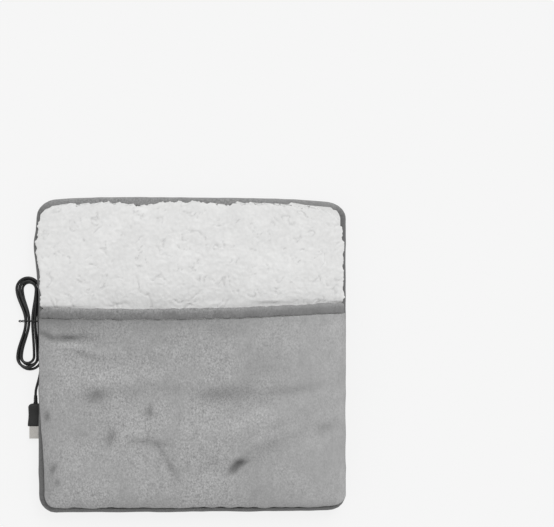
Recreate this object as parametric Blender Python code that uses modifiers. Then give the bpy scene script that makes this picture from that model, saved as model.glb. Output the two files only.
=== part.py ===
"""Heated foot pad with a plush pocket, lying flat on its back, with its cord tied in a hank.

The pad lies in X (width) and Y (length), with the pocket's mouth towards +Y and +Z up.
The origin is at the middle of the pad's underside. All sizes are in metres.
"""

import math

import bmesh
import bpy
from mathutils import Vector

# Clearances
SEAT_GAP = 0.0003
CUT_OVERRUN = 0.002
MERGE_DISTANCE = 0.00001

# Overall outline of the pad
PAD_WIDTH = 0.300
PAD_LENGTH = 0.305
PAD_CORNER_RADIUS = 0.018
CORNER_STEPS = 5

# Rim band: the grey cloth strip that closes the side of the pad
RIM_HEIGHT = 0.0215
RIM_REACH_UNDER = 0.0093
RIM_CLOTH = 0.0014
RIM_INSET_SHARES = (1.0, 0.86, 0.80, 0.72, 0.60, 0.25, 0.05, 0.0, 0.07, 0.23, 0.42)
RIM_HEIGHT_SHARES = (0.0, 0.0, 0.17, 0.34, 0.40, 0.44, 0.55, 0.68, 0.85, 0.96, 1.0)

# Flat layers, bottom to top
BASE_CLOTH = 0.0012
LOWER_WADDING = 0.0060
FELT = 0.0015
HEATING_WIRE_DIAMETER = 0.0016
COVER_SHEET = 0.0008
CORE_CORNER_CUT = 0.026

# Crowned layers
PLUSH_INSET = 0.0054
WADDING_EDGE = 0.0010
WADDING_CROWN = 0.0040
LINING_EDGE = 0.0060
LINING_CROWN = 0.0026
CAVITY_RISE = 0.0093
POCKET_LINING_EDGE = 0.0015
POCKET_LINING_CROWN = 0.0030
POCKET_WADDING_EDGE = 0.0008
POCKET_WADDING_CROWN = 0.0012
POCKET_CLOTH = 0.0016
CROWN_POWER = 4.0
GRID_CROWDING = 1.8
GRID_STEPS_ACROSS = 16
GRID_STEPS_ALONG = 16
POCKET_STEPS_ALONG = 14

# Soft waves in the pocket's front
FOLD_HEIGHT = 0.0013
FOLD_LENGTH = 0.096
FOLD_SLANT_SHARE = 0.28

# Pocket mouth and its rolled hem
MOUTH_Y = 0.034
MOUTH_TILT = 0.003
HEM_WIDTH = 0.0125
HEM_POINTS = 33

# Heating wire
WIRE_ROWS = 9
WIRE_SIDE_MARGIN = 0.024
WIRE_END_MARGIN = 0.0275
WIRE_LOOP_SIDE_CLEAR = 0.018
WIRE_TURN_STEPS = 6

# Terminal bay: the window in the top layers that leaves room for the joints
BAY_LEFT_MARGIN = 0.022
BAY_TOP_MARGIN = 0.0245
BAY_LENGTH = 0.032
LEAD_BEND_ROOM = 0.0096

# Electrical joints
LEAD_DIAMETER = 0.0012
LEAD_SPACING = 0.0018
SPLICE_DIAMETER = 0.0034
SPLICE_LENGTH = 0.014
CUTOUT_LENGTH = 0.011
CUTOUT_WIDTH = 0.006
CUTOUT_HEIGHT = 0.0035
CUTOUT_EDGE = 0.0006
SPLICE_ROW_DROP = 0.0070
CUTOUT_ROW_DROP = 0.0200

# Cord and its anchor
CORD_DIAMETER = 0.0026
OUTLET_CLEARANCE = 0.0003
OUTLET_FROM_TOP = 0.020
OUTLET_HEIGHT = 0.0044
ANCHOR_DIAMETER = 0.0058
ANCHOR_LENGTH = 0.008
ANCHOR_SETBACK = 0.0030

# Hank
HANK_CENTRE_X = -0.158
HANK_TOP_Y = 0.0630
HANK_BOTTOM_Y = -0.0041
HANK_WAIST_Y = 0.032
HANK_INNER_RADIUS = 0.0062
HANK_LOOP_STEP = 0.0032
HANK_LAYER_STEP = 0.0031
HANK_LAYER_TURNS = 2.0
HANK_CLIMB_TURNS = 0.25
HANK_STEPS_PER_TURN = 24
HANK_BOTTOM_FAN = 0.0020
HANK_UPPER_SLIP = 0.0015
WAIST_RIGHT_SHIFT = 0.0030
WAIST_LEFT_SHIFT = 0.0011
WAIST_FLAT = 0.0010
FLOOR_CLEARANCE = 0.0001
WAIST_LIFT = 0.0017
WAIST_LIFT_REACH = 0.018

# Twisted tie
TIE_DIAMETER = 0.0010
TIE_CLEARANCE = 0.0006
TIE_LOOP_POINTS = 24
TIE_FIT_STEPS = 1000
TIE_SQUARENESS = 0.4
TIE_TWIST_LENGTH = 0.0045
TIE_TWIST_TURNS = 0.75
TIE_TWIST_RADIUS = 0.00078
TIE_TWIST_STEPS = 12

# Plug
PLUG_WIDTH = 0.0150
PLUG_BODY_LENGTH = 0.0220
PLUG_THICKNESS = 0.0070
PLUG_EDGE = 0.0012
PLUG_RELIEF_LENGTH = 0.0080
PLUG_RELIEF_DIAMETER = 0.0042
PLUG_CENTRE_X = -0.1519
PLUG_START_Y = -0.0403
SHELL_WIDTH = 0.0120
SHELL_THICKNESS = 0.0045
SHELL_WALL = 0.00035
SHELL_REACH = 0.0120
SHELL_SEAT_DEPTH = 0.0050
SHELL_CORNER = 0.0004
TONGUE_THICKNESS = 0.0017
TONGUE_ROOT_LENGTH = 0.0040
TONGUE_SETBACK = 0.0010
CONTACT_COUNT = 4
CONTACT_WIDTH = 0.0010
CONTACT_THICKNESS = 0.0003
CONTACT_LENGTH = 0.0085
CONTACT_SPACING = 0.0023

# Heights that follow from the layers
BASE_TOP = BASE_CLOTH
LOWER_WADDING_TOP = BASE_TOP + SEAT_GAP + LOWER_WADDING
FELT_TOP = LOWER_WADDING_TOP + SEAT_GAP + FELT
WIRE_Z = FELT_TOP + SEAT_GAP + HEATING_WIRE_DIAMETER / 2
COVER_LOW = FELT_TOP + 2 * SEAT_GAP + HEATING_WIRE_DIAMETER
COVER_TOP = COVER_LOW + COVER_SHEET
WADDING_LOW = COVER_TOP + SEAT_GAP
WADDING_TOP_EDGE = WADDING_LOW + WADDING_EDGE
LINING_TOP_EDGE = WADDING_TOP_EDGE + SEAT_GAP + LINING_EDGE
LINING_CROWN_TOTAL = WADDING_CROWN + LINING_CROWN
POCKET_LOW_EDGE = LINING_TOP_EDGE + SEAT_GAP
POCKET_LOW_CROWN = LINING_CROWN_TOTAL + CAVITY_RISE
POCKET_LINING_TOP_EDGE = POCKET_LOW_EDGE + POCKET_LINING_EDGE
POCKET_LINING_TOP_CROWN = POCKET_LOW_CROWN + POCKET_LINING_CROWN
POCKET_WADDING_TOP_EDGE = POCKET_LINING_TOP_EDGE + SEAT_GAP + POCKET_WADDING_EDGE
POCKET_WADDING_TOP_CROWN = POCKET_LINING_TOP_CROWN + POCKET_WADDING_CROWN
POCKET_TOP_EDGE = POCKET_WADDING_TOP_EDGE + SEAT_GAP + POCKET_CLOTH

# Half sizes of the outlines
HALF_WIDTH = PAD_WIDTH / 2
HALF_LENGTH = PAD_LENGTH / 2
BASE_INSET = RIM_REACH_UNDER + SEAT_GAP
CORE_INSET = RIM_REACH_UNDER + 3 * SEAT_GAP
PLUSH_HALF_WIDTH = HALF_WIDTH - PLUSH_INSET
PLUSH_HALF_LENGTH = HALF_LENGTH - PLUSH_INSET
PLUSH_CORNER = PAD_CORNER_RADIUS - PLUSH_INSET

# The bay is as long as what lies in it, end to end
BAY_WIDTH = LEAD_BEND_ROOM + CUTOUT_LENGTH + SPLICE_LENGTH + 2 * SPLICE_DIAMETER + 2 * SEAT_GAP

# Places of the cord's pieces
OUTLET_Y = HALF_LENGTH - OUTLET_FROM_TOP
HANK_OUTER_RADIUS = HANK_INNER_RADIUS + HANK_LAYER_TURNS * HANK_LOOP_STEP
HANK_LOW_Z = FLOOR_CLEARANCE + CORD_DIAMETER / 2
HANK_END_X = HANK_CENTRE_X + HANK_OUTER_RADIUS
HANK_START_Y = HANK_TOP_Y + CORD_DIAMETER
PLUG_Z = FLOOR_CLEARANCE + PLUG_THICKNESS / 2
PLUG_BODY_START_Y = PLUG_START_Y - PLUG_RELIEF_LENGTH
PLUG_BODY_END_Y = PLUG_BODY_START_Y - PLUG_BODY_LENGTH

PARTS = "heated_foot_pad"
CUTTERS = "cutters"


# Scene and materials


def clear_scene():
    for item in list(bpy.data.objects):
        bpy.data.objects.remove(item, do_unlink=True)
    for name in (PARTS, CUTTERS):
        if name not in bpy.data.collections:
            bpy.context.scene.collection.children.link(bpy.data.collections.new(name))


def finish_of(name, colour, roughness, metallic=0.0):
    material = bpy.data.materials.new(name)
    material.use_nodes = True
    shader = material.node_tree.nodes["Principled BSDF"]
    shader.inputs["Base Color"].default_value = (*colour, 1.0)
    shader.inputs["Roughness"].default_value = roughness
    shader.inputs["Metallic"].default_value = metallic
    material.diffuse_color = (*colour, 1.0)
    return material


def place(name, data, material):
    piece = bpy.data.objects.new(name, data)
    bpy.data.collections[PARTS].objects.link(piece)
    if not data.materials:
        data.materials.append(material)
    return piece


def place_cutter(name, data):
    cutter = bpy.data.objects.new(name, data)
    bpy.data.collections[CUTTERS].objects.link(cutter)
    cutter.hide_render = True
    cutter.display_type = "WIRE"
    return cutter


def mesh_from(builder, name):
    mesh = bpy.data.meshes.new(name)
    builder.normal_update()
    builder.to_mesh(mesh)
    builder.free()
    return mesh


def cut(piece, cutter):
    boolean = piece.modifiers.new("cut", "BOOLEAN")
    boolean.operation = "DIFFERENCE"
    boolean.solver = "EXACT"
    boolean.object = cutter


def join_to(piece, added):
    boolean = piece.modifiers.new("join", "BOOLEAN")
    boolean.operation = "UNION"
    boolean.solver = "EXACT"
    boolean.object = added


# Shapes


def rounded_outline(half_width, half_length, radius):
    points = []
    corners = ((1, 1, 0), (-1, 1, 90), (-1, -1, 180), (1, -1, 270))
    for side_x, side_y, start in corners:
        for step in range(CORNER_STEPS + 1):
            angle = math.radians(start + 90 * step / CORNER_STEPS)
            x = side_x * (half_width - radius) + radius * math.cos(angle)
            y = side_y * (half_length - radius) + radius * math.sin(angle)
            points.append((x, y))
    return points


def outline_curve(name, outlines, thickness):
    curve = bpy.data.curves.new(name, "CURVE")
    curve.dimensions = "2D"
    curve.fill_mode = "BOTH"
    curve.extrude = thickness / 2
    for outline in outlines:
        spline = curve.splines.new("POLY")
        spline.points.add(len(outline) - 1)
        for point, (x, y) in zip(spline.points, outline):
            point.co = (x, y, 0, 1)
        spline.use_cyclic_u = True
    return curve


def flat_layer(name, outlines, low, thickness, material):
    piece = place(name, outline_curve(name, outlines, thickness), material)
    piece.location.z = low + thickness / 2
    return piece


def path_curve(name, points, radii=None, cyclic=False):
    curve = bpy.data.curves.new(name, "CURVE")
    curve.dimensions = "3D"
    spline = curve.splines.new("POLY")
    spline.points.add(len(points) - 1)
    for index, point in enumerate(points):
        spline.points[index].co = (*point, 1)
        spline.points[index].radius = radii[index] if radii else 1
    spline.use_cyclic_u = cyclic
    return curve


def tube(name, points, diameter, material, sides_setting=2):
    curve = path_curve(name, points)
    curve.bevel_depth = diameter / 2
    curve.bevel_resolution = sides_setting
    curve.use_fill_caps = True
    return place(name, curve, material)


def cylinder_mesh(name, diameter_low, diameter_high, length, segments=16):
    builder = bmesh.new()
    bmesh.ops.create_cone(
        builder,
        cap_ends=True,
        segments=segments,
        radius1=diameter_low / 2,
        radius2=diameter_high / 2,
        depth=length,
    )
    return mesh_from(builder, name)


def box_mesh(name, size, edge=0.0):
    builder = bmesh.new()
    bmesh.ops.create_cube(builder, size=1)
    bmesh.ops.scale(builder, vec=size, verts=builder.verts)
    if edge:
        bmesh.ops.bevel(
            builder, geom=builder.edges[:], offset=edge, segments=2, profile=0.5, affect="EDGES"
        )
    return mesh_from(builder, name)


def smooth_route(stops, spacing):
    """Read evenly spaced points from a smooth curve through the stops, with straight ends."""
    padded = [Vector(stop) for stop in stops]
    stops = padded[1:-1]
    fine = []
    for index in range(1, len(padded) - 2):
        before, start, end, after = padded[index - 1 : index + 3]
        for step in range(24):
            t = step / 24
            fine.append(
                0.5
                * (
                    2 * start
                    + (end - before) * t
                    + (2 * before - 5 * start + 4 * end - after) * t * t
                    + (3 * start - before - 3 * end + after) * t * t * t
                )
            )
    fine.append(stops[-1])
    length = sum((b - a).length for a, b in zip(fine, fine[1:]))
    count = max(2, round(length / spacing))
    points = [fine[0]]
    walked = 0.0
    for a, b in zip(fine, fine[1:]):
        step = (b - a).length
        while len(points) < count and walked + step >= len(points) * length / count:
            share = (len(points) * length / count - walked) / step
            points.append(a.lerp(b, share))
        walked += step
    return [padded[0], *points, fine[-1], padded[-1]]


# Heights of the crowned layers


def edge_share(share):
    return max(0.0, 1 - abs(share) ** CROWN_POWER) ** 0.5


def pad_crown(x, y):
    return edge_share(x / PLUSH_HALF_WIDTH) * edge_share(y / PLUSH_HALF_LENGTH)


def pocket_crown(x, y):
    towards_seam = min(0.0, y / PLUSH_HALF_LENGTH)
    crown = edge_share(x / PLUSH_HALF_WIDTH) * edge_share(towards_seam)
    wave = math.sin(math.tau * (y + FOLD_SLANT_SHARE * x) / FOLD_LENGTH)
    return crown * (1 + wave * FOLD_HEIGHT / POCKET_LOW_CROWN)


def flat_at(height):
    return lambda x, y: height


def pad_surface(edge, crown):
    return lambda x, y: edge + crown * pad_crown(x, y)


def pocket_surface(edge, crown):
    return lambda x, y: edge + crown * pocket_crown(x, y)


def mouth_line(x):
    return MOUTH_Y + MOUTH_TILT * x / PLUSH_HALF_WIDTH


def crowd(share):
    return math.copysign(1 - (1 - abs(share)) ** GRID_CROWDING, share)


def round_corner(x, y, round_top):
    """Draw a point of a square corner in to the plush's corner arc."""
    over_x = abs(x) - (PLUSH_HALF_WIDTH - PLUSH_CORNER)
    over_y = abs(y) - (PLUSH_HALF_LENGTH - PLUSH_CORNER)
    if over_x <= 0 or over_y <= 0 or (y > 0 and not round_top):
        return x, y
    pull = max(over_x, over_y) / math.hypot(over_x, over_y)
    new_x = PLUSH_HALF_WIDTH - PLUSH_CORNER + over_x * pull
    new_y = PLUSH_HALF_LENGTH - PLUSH_CORNER + over_y * pull
    return math.copysign(new_x, x), math.copysign(new_y, y)


def crowned_layer(name, low, high, steps_along, place_row, round_top, material):
    """A soft layer between two height functions, on a grid that is closer near the edges."""
    builder = bmesh.new()
    bmesh.ops.create_grid(builder, x_segments=GRID_STEPS_ACROSS, y_segments=steps_along, size=1)
    for vertex in builder.verts:
        x = PLUSH_HALF_WIDTH * crowd(vertex.co.x)
        y = place_row(vertex.co.y, x)
        x, y = round_corner(x, y, round_top)
        vertex.co = (x, y, low(x, y))
    raised = bmesh.ops.extrude_face_region(builder, geom=builder.faces[:])
    for item in raised["geom"]:
        if isinstance(item, bmesh.types.BMVert):
            item.co.z = high(item.co.x, item.co.y)
    bmesh.ops.recalc_face_normals(builder, faces=builder.faces[:])
    return place(name, mesh_from(builder, name), material)


def pad_row(share, x):
    return PLUSH_HALF_LENGTH * crowd(share)


def pocket_row(share, x):
    eased = ((share + 1) / 2) ** GRID_CROWDING
    return -PLUSH_HALF_LENGTH + (mouth_line(x) + PLUSH_HALF_LENGTH) * eased


# The pad


def anti_slip_base(material):
    outline = rounded_outline(
        HALF_WIDTH - BASE_INSET, HALF_LENGTH - BASE_INSET, PAD_CORNER_RADIUS - BASE_INSET
    )
    flat_layer("anti_slip_base", [outline], 0, BASE_CLOTH, material)


def core_outline():
    """The padding's outline, with the cord's corner cut off."""
    half_width = HALF_WIDTH - CORE_INSET
    half_length = HALF_LENGTH - CORE_INSET
    outline = rounded_outline(half_width, half_length, PAD_CORNER_RADIUS - CORE_INSET)
    kept = [point for point in outline if not (point[0] < 0 and point[1] > 0)]
    first_corner = CORNER_STEPS + 1
    chamfer = [
        (-half_width + CORE_CORNER_CUT, half_length),
        (-half_width, half_length - CORE_CORNER_CUT),
    ]
    return kept[:first_corner] + chamfer + kept[first_corner:]


def bay_box():
    left = -HALF_WIDTH + BAY_LEFT_MARGIN
    top = HALF_LENGTH - BAY_TOP_MARGIN
    return left, left + BAY_WIDTH, top - BAY_LENGTH, top


def bay_outline():
    left, right, low, top = bay_box()
    return [(left, low), (right, low), (right, top), (left, top)]


def padding_layers(wadding, felt, cover):
    outline = core_outline()
    flat_layer("lower_wadding", [outline], BASE_TOP + SEAT_GAP, LOWER_WADDING, wadding)
    flat_layer("heater_felt", [outline], LOWER_WADDING_TOP + SEAT_GAP, FELT, felt)
    flat_layer("heater_cover", [outline, bay_outline()], COVER_LOW, COVER_SHEET, cover)


def upper_wadding(material):
    piece = crowned_layer(
        "upper_wadding",
        flat_at(WADDING_LOW),
        pad_surface(WADDING_TOP_EDGE, WADDING_CROWN),
        GRID_STEPS_ALONG,
        pad_row,
        True,
        material,
    )
    left, right, low, top = bay_box()
    depth = WADDING_EDGE + WADDING_CROWN + 2 * CUT_OVERRUN
    cutter = place_cutter("bay_cutter", box_mesh("bay_cutter", (right - left, top - low, depth)))
    cutter.location = ((left + right) / 2, (low + top) / 2, WADDING_LOW - CUT_OVERRUN + depth / 2)
    cut(piece, cutter)


def base_lining(material):
    crowned_layer(
        "base_lining",
        pad_surface(WADDING_TOP_EDGE + SEAT_GAP, WADDING_CROWN),
        pad_surface(LINING_TOP_EDGE, LINING_CROWN_TOTAL),
        GRID_STEPS_ALONG,
        pad_row,
        True,
        material,
    )


def rim_profile():
    pairs = zip(RIM_INSET_SHARES, RIM_HEIGHT_SHARES)
    return [(inset * RIM_REACH_UNDER, height * RIM_HEIGHT) for inset, height in pairs]


def edge_band(material):
    """Sweep the band's section round the pad: along each side, then round each corner."""
    builder = bmesh.new()
    profile = rim_profile()
    start_y = -(HALF_LENGTH - PAD_CORNER_RADIUS)
    verts = [builder.verts.new((HALF_WIDTH - inset, start_y, z)) for inset, z in profile]
    edges = [builder.edges.new(pair) for pair in zip(verts, verts[1:])]
    runs = (
        (Vector((0, 1, 0)), PAD_LENGTH, (1, 1)),
        (Vector((-1, 0, 0)), PAD_WIDTH, (-1, 1)),
        (Vector((0, -1, 0)), PAD_LENGTH, (-1, -1)),
        (Vector((1, 0, 0)), PAD_WIDTH, (1, -1)),
    )
    for direction, side, (side_x, side_y) in runs:
        grown = bmesh.ops.extrude_edge_only(builder, edges=edges)["geom"]
        moved = [item for item in grown if isinstance(item, bmesh.types.BMVert)]
        step = direction * (side - 2 * PAD_CORNER_RADIUS)
        bmesh.ops.translate(builder, verts=moved, vec=step)
        edges = [item for item in grown if isinstance(item, bmesh.types.BMEdge)]
        edges = [edge for edge in edges if edge.verts[0] in moved and edge.verts[1] in moved]
        centre = (
            side_x * (HALF_WIDTH - PAD_CORNER_RADIUS),
            side_y * (HALF_LENGTH - PAD_CORNER_RADIUS),
            0,
        )
        turned = bmesh.ops.spin(
            builder,
            geom=edges,
            cent=centre,
            axis=(0, 0, 1),
            angle=math.radians(90),
            steps=CORNER_STEPS,
        )["geom_last"]
        edges = [item for item in turned if isinstance(item, bmesh.types.BMEdge)]
    bmesh.ops.remove_doubles(builder, verts=builder.verts[:], dist=MERGE_DISTANCE)
    bmesh.ops.recalc_face_normals(builder, faces=builder.faces[:])
    band = place("edge_band", mesh_from(builder, "edge_band"), material)
    shell = band.modifiers.new("cloth", "SOLIDIFY")
    shell.thickness = RIM_CLOTH
    shell.offset = -1
    shell.use_even_offset = True
    hole = CORD_DIAMETER + 2 * OUTLET_CLEARANCE
    reach = 2 * RIM_REACH_UNDER
    cutter = place_cutter("outlet_cutter", cylinder_mesh("outlet_cutter", hole, hole, reach))
    cutter.location = (-HALF_WIDTH + RIM_REACH_UNDER, OUTLET_Y, OUTLET_HEIGHT)
    cutter.rotation_euler.y = math.radians(90)
    cut(band, cutter)


# The heater and its joints


def heating_wire_route():
    """Out along the top edge, down the right side, then back and forth up the pad."""
    first_y, last_y = splice_rows()
    bottom_y = -HALF_LENGTH + WIRE_END_MARGIN
    outer_x = HALF_WIDTH - WIRE_SIDE_MARGIN
    row_step = (last_y - bottom_y) / (WIRE_ROWS - 1)
    turn = row_step / 2
    row_right = outer_x - WIRE_LOOP_SIDE_CLEAR - turn
    row_left = -outer_x + turn
    joint_x = splice_end_x() + SEAT_GAP
    straight_x = joint_x + HEATING_WIRE_DIAMETER
    level_x = joint_x + 1.5 * SPLICE_DIAMETER
    points = [(joint_x, first_y, splice_z()), (straight_x, first_y, splice_z())]
    points.append((level_x, first_y, WIRE_Z))
    points += arc_points(outer_x - turn, first_y - turn, turn, 90, 0, WIRE_Z)
    points += arc_points(outer_x - turn, bottom_y + turn, turn, 0, -90, WIRE_Z)
    for row in range(WIRE_ROWS - 1):
        middle_y = bottom_y + row_step * (row + 0.5)
        if row % 2 == 0:
            points += arc_points(row_left, middle_y, turn, 270, 90, WIRE_Z)
        else:
            points += arc_points(row_right, middle_y, turn, -90, 90, WIRE_Z)
    points.append((level_x, last_y, WIRE_Z))
    points += [(straight_x, last_y, splice_z()), (joint_x, last_y, splice_z())]
    return points


def arc_points(x, y, radius, start, end, z):
    points = []
    for step in range(WIRE_TURN_STEPS + 1):
        angle = math.radians(start + (end - start) * step / WIRE_TURN_STEPS)
        points.append((x + radius * math.cos(angle), y + radius * math.sin(angle), z))
    return points


def heating_wire(material):
    tube("heating_wire", heating_wire_route(), HEATING_WIRE_DIAMETER, material, 1)


def splice_z():
    return FELT_TOP + SEAT_GAP + SPLICE_DIAMETER / 2


def splice_end_x():
    right = bay_box()[1]
    return right - 2 * SPLICE_DIAMETER


def splice_rows():
    top = bay_box()[3]
    return top - SPLICE_ROW_DROP, top - CUTOUT_ROW_DROP


def splice_sleeves(material):
    """Two crimped sleeves, one on each end of the heating wire."""
    mesh = cylinder_mesh("splice_sleeve", SPLICE_DIAMETER, SPLICE_DIAMETER, SPLICE_LENGTH, 12)
    for index, row_y in enumerate(splice_rows(), 1):
        piece = place(f"splice_sleeve_{index}", mesh, material)
        piece.rotation_euler.y = math.radians(90)
        piece.location = (splice_end_x() - SPLICE_LENGTH / 2, row_y, splice_z())


def cutout_centre():
    end_x = splice_end_x() - SPLICE_LENGTH - SEAT_GAP
    height = FELT_TOP + SEAT_GAP + CUTOUT_HEIGHT / 2
    return end_x - CUTOUT_LENGTH / 2, splice_rows()[1], height


def thermal_cutout(material):
    size = (CUTOUT_LENGTH, CUTOUT_WIDTH, CUTOUT_HEIGHT)
    piece = place("thermal_cutout", box_mesh("thermal_cutout", size, CUTOUT_EDGE), material)
    piece.location = cutout_centre()


def anchor_centre():
    outer_x = -HALF_WIDTH + RIM_REACH_UNDER + ANCHOR_SETBACK
    return outer_x + ANCHOR_LENGTH / 2, OUTLET_Y, OUTLET_HEIGHT


def cord_anchor(material):
    name = "cord_anchor"
    piece = place(name, cylinder_mesh(name, ANCHOR_DIAMETER, ANCHOR_DIAMETER, ANCHOR_LENGTH), material)
    piece.location = anchor_centre()
    piece.rotation_euler.y = math.radians(90)


def outlet_x():
    """Where the cord comes out of the band's wall, at the outlet's height."""
    share = OUTLET_HEIGHT / RIM_HEIGHT
    pairs = list(zip(RIM_HEIGHT_SHARES, RIM_INSET_SHARES))
    for (low, inset_low), (high, inset_high) in zip(pairs, pairs[1:]):
        if low <= share <= high and high > low:
            part = (share - low) / (high - low)
            inset = inset_low + (inset_high - inset_low) * part
            return -HALF_WIDTH + inset * RIM_REACH_UNDER
    return -HALF_WIDTH


def inner_cord(material):
    centre = anchor_centre()
    inner_end = centre[0] - ANCHOR_LENGTH / 2 - SEAT_GAP
    points = [(outlet_x(), OUTLET_Y, OUTLET_HEIGHT), (inner_end, OUTLET_Y, OUTLET_HEIGHT)]
    tube("inner_cord", points, CORD_DIAMETER, material)


def supply_leads(material):
    """The cord's two cores, from the anchor to the first sleeve and to the thermal cut-out."""
    centre_x, centre_y, centre_z = anchor_centre()
    start_x = centre_x + ANCHOR_LENGTH / 2 + SEAT_GAP
    rise_z = FELT_TOP + SEAT_GAP + LEAD_DIAMETER / 2
    upper_y, lower_y = splice_rows()
    half = LEAD_SPACING / 2
    left_end = splice_end_x() - SPLICE_LENGTH - SEAT_GAP
    cutout_x, cutout_y, cutout_z = cutout_centre()
    cutout_end = cutout_x - CUTOUT_LENGTH / 2 - SEAT_GAP
    routes = (
        (
            (start_x, centre_y + half, centre_z),
            (start_x + LEAD_DIAMETER, centre_y + half, centre_z),
            (start_x + 2 * LEAD_DIAMETER, centre_y + half, rise_z),
            (start_x + 5 * LEAD_DIAMETER, centre_y - LEAD_SPACING, rise_z),
            (left_end - SPLICE_LENGTH, upper_y + LEAD_SPACING, rise_z),
            (left_end - LEAD_SPACING, upper_y, splice_z()),
            (left_end, upper_y, splice_z()),
        ),
        (
            (start_x, centre_y - half, centre_z),
            (start_x + LEAD_DIAMETER, centre_y - half, centre_z),
            (start_x + 2 * LEAD_DIAMETER, centre_y - half - LEAD_DIAMETER, rise_z),
            (start_x + 2 * LEAD_DIAMETER, cutout_y + CUTOUT_WIDTH, rise_z),
            (cutout_end - 2 * LEAD_SPACING, cutout_y + LEAD_SPACING, rise_z),
            (cutout_end - LEAD_SPACING, cutout_y, cutout_z),
            (cutout_end, cutout_y, cutout_z),
        ),
    )
    for index, route in enumerate(routes, 1):
        tube(f"supply_lead_{index}", route, LEAD_DIAMETER, material, 1)


# The pocket's front, which lifts at the mouth


def pocket_layers(cloth, wadding, plush):
    gap = SEAT_GAP
    layers = (
        (
            "pocket_lining",
            pocket_surface(POCKET_LOW_EDGE, POCKET_LOW_CROWN),
            pocket_surface(POCKET_LINING_TOP_EDGE, POCKET_LINING_TOP_CROWN),
            plush,
        ),
        (
            "pocket_wadding",
            pocket_surface(POCKET_LINING_TOP_EDGE + gap, POCKET_LINING_TOP_CROWN),
            pocket_surface(POCKET_WADDING_TOP_EDGE, POCKET_WADDING_TOP_CROWN),
            wadding,
        ),
        (
            "pocket_front",
            pocket_surface(POCKET_WADDING_TOP_EDGE + gap, POCKET_WADDING_TOP_CROWN),
            pocket_surface(POCKET_TOP_EDGE, POCKET_WADDING_TOP_CROWN),
            cloth,
        ),
    )
    for name, low, high, material in layers:
        crowned_layer(name, low, high, POCKET_STEPS_ALONG, pocket_row, False, material)


def mouth_hem(material):
    """A rolled hem that follows the arch of the mouth and thins to its two ends."""
    full_height = POCKET_TOP_EDGE + POCKET_WADDING_TOP_CROWN - POCKET_LOW_EDGE - POCKET_LOW_CROWN
    section = bpy.data.curves.new("hem_section", "CURVE")
    section.dimensions = "2D"
    spline = section.splines.new("POLY")
    spline.points.add(11)
    for index, point in enumerate(spline.points):
        angle = -math.tau * index / len(spline.points)
        point.co = (HEM_WIDTH / 2 * math.cos(angle), full_height / 2 * math.sin(angle), 0, 1)
    spline.use_cyclic_u = True
    guide = place_cutter("hem_section", section)
    points = []
    radii = []
    for index in range(HEM_POINTS):
        x = PLUSH_HALF_WIDTH * crowd(2 * index / (HEM_POINTS - 1) - 1)
        seam_y = mouth_line(x)
        low = pocket_surface(POCKET_LOW_EDGE, POCKET_LOW_CROWN)(x, seam_y)
        high = pocket_surface(POCKET_TOP_EDGE, POCKET_WADDING_TOP_CROWN)(x, seam_y)
        scale = (high - low) / full_height
        points.append((x, seam_y + SEAT_GAP + HEM_WIDTH / 2, (low + high) / 2))
        radii.append(scale)
    curve = path_curve("mouth_hem", points, radii)
    curve.twist_mode = "Z_UP"
    curve.bevel_mode = "OBJECT"
    curve.bevel_object = guide
    curve.use_fill_caps = True
    place("mouth_hem", curve, material)


# The cord


def blend_step(value, low, high):
    """0 below low, 1 above high, and smooth between."""
    share = min(1.0, max(0.0, (value - low) / (high - low)))
    return share * share * (3 - 2 * share)


def waist_share(y, bottom_y):
    """0 at the ends of a hank's run, 1 at the waist."""
    if y > HANK_WAIST_Y:
        return 1 - blend_step(y, HANK_WAIST_Y + WAIST_FLAT, HANK_TOP_Y)
    return blend_step(y, bottom_y, HANK_WAIST_Y - WAIST_FLAT)


def waist_x(side, radius):
    """Where a run of the right or left side lies under the tie, close beside its neighbours."""
    shift = WAIST_RIGHT_SHIFT if side > 0 else WAIST_LEFT_SHIFT
    return HANK_CENTRE_X + shift + side * (radius - HANK_INNER_RADIUS)


def hank_lift(y):
    return WAIST_LIFT * math.exp(-(((y - HANK_WAIST_Y) / WAIST_LIFT_REACH) ** 2))


def hank_point(turns):
    """A point of the wound cord: down the right run, round, up the left run and round."""
    reverse = HANK_LAYER_TURNS + HANK_CLIMB_TURNS
    if turns <= HANK_LAYER_TURNS:
        radius = HANK_OUTER_RADIUS - HANK_LOOP_STEP * turns
    else:
        radius = HANK_INNER_RADIUS + HANK_LOOP_STEP * max(0.0, turns - reverse)
    climbed = blend_step(turns, HANK_LAYER_TURNS, reverse)
    inward = (HANK_OUTER_RADIUS - radius) / (HANK_OUTER_RADIUS - HANK_INNER_RADIUS)
    middle_x = HANK_CENTRE_X - HANK_UPPER_SLIP * climbed
    bottom_y = HANK_BOTTOM_Y + HANK_BOTTOM_FAN * inward
    part, leg = math.modf((turns % 1.0) * 4)
    if leg == 1:
        x = middle_x + radius * math.cos(math.pi * part)
        y = bottom_y - radius * math.sin(math.pi * part)
    elif leg == 3:
        x = middle_x - radius * math.cos(math.pi * part)
        y = HANK_TOP_Y + radius * math.sin(math.pi * part)
    else:
        side = 1 if leg == 0 else -1
        from_top = part if leg == 0 else 1 - part
        y = HANK_TOP_Y + (bottom_y - HANK_TOP_Y) * from_top
        free_x = middle_x + side * radius
        x = free_x + (waist_x(side, radius) - free_x) * waist_share(y, bottom_y)
    z = HANK_LOW_Z + HANK_LAYER_STEP * climbed + hank_lift(y)
    return Vector((x, y, z))


def hank_route():
    turns = 2 * HANK_LAYER_TURNS + HANK_CLIMB_TURNS
    steps = round(turns * HANK_STEPS_PER_TURN)
    points = [hank_point(turns * step / steps) for step in range(steps + 1)]
    points.insert(0, points[0] + Vector((0, CORD_DIAMETER, 0)))
    points.append(points[-1] - Vector((0, CORD_DIAMETER, 0)))
    return points


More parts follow.
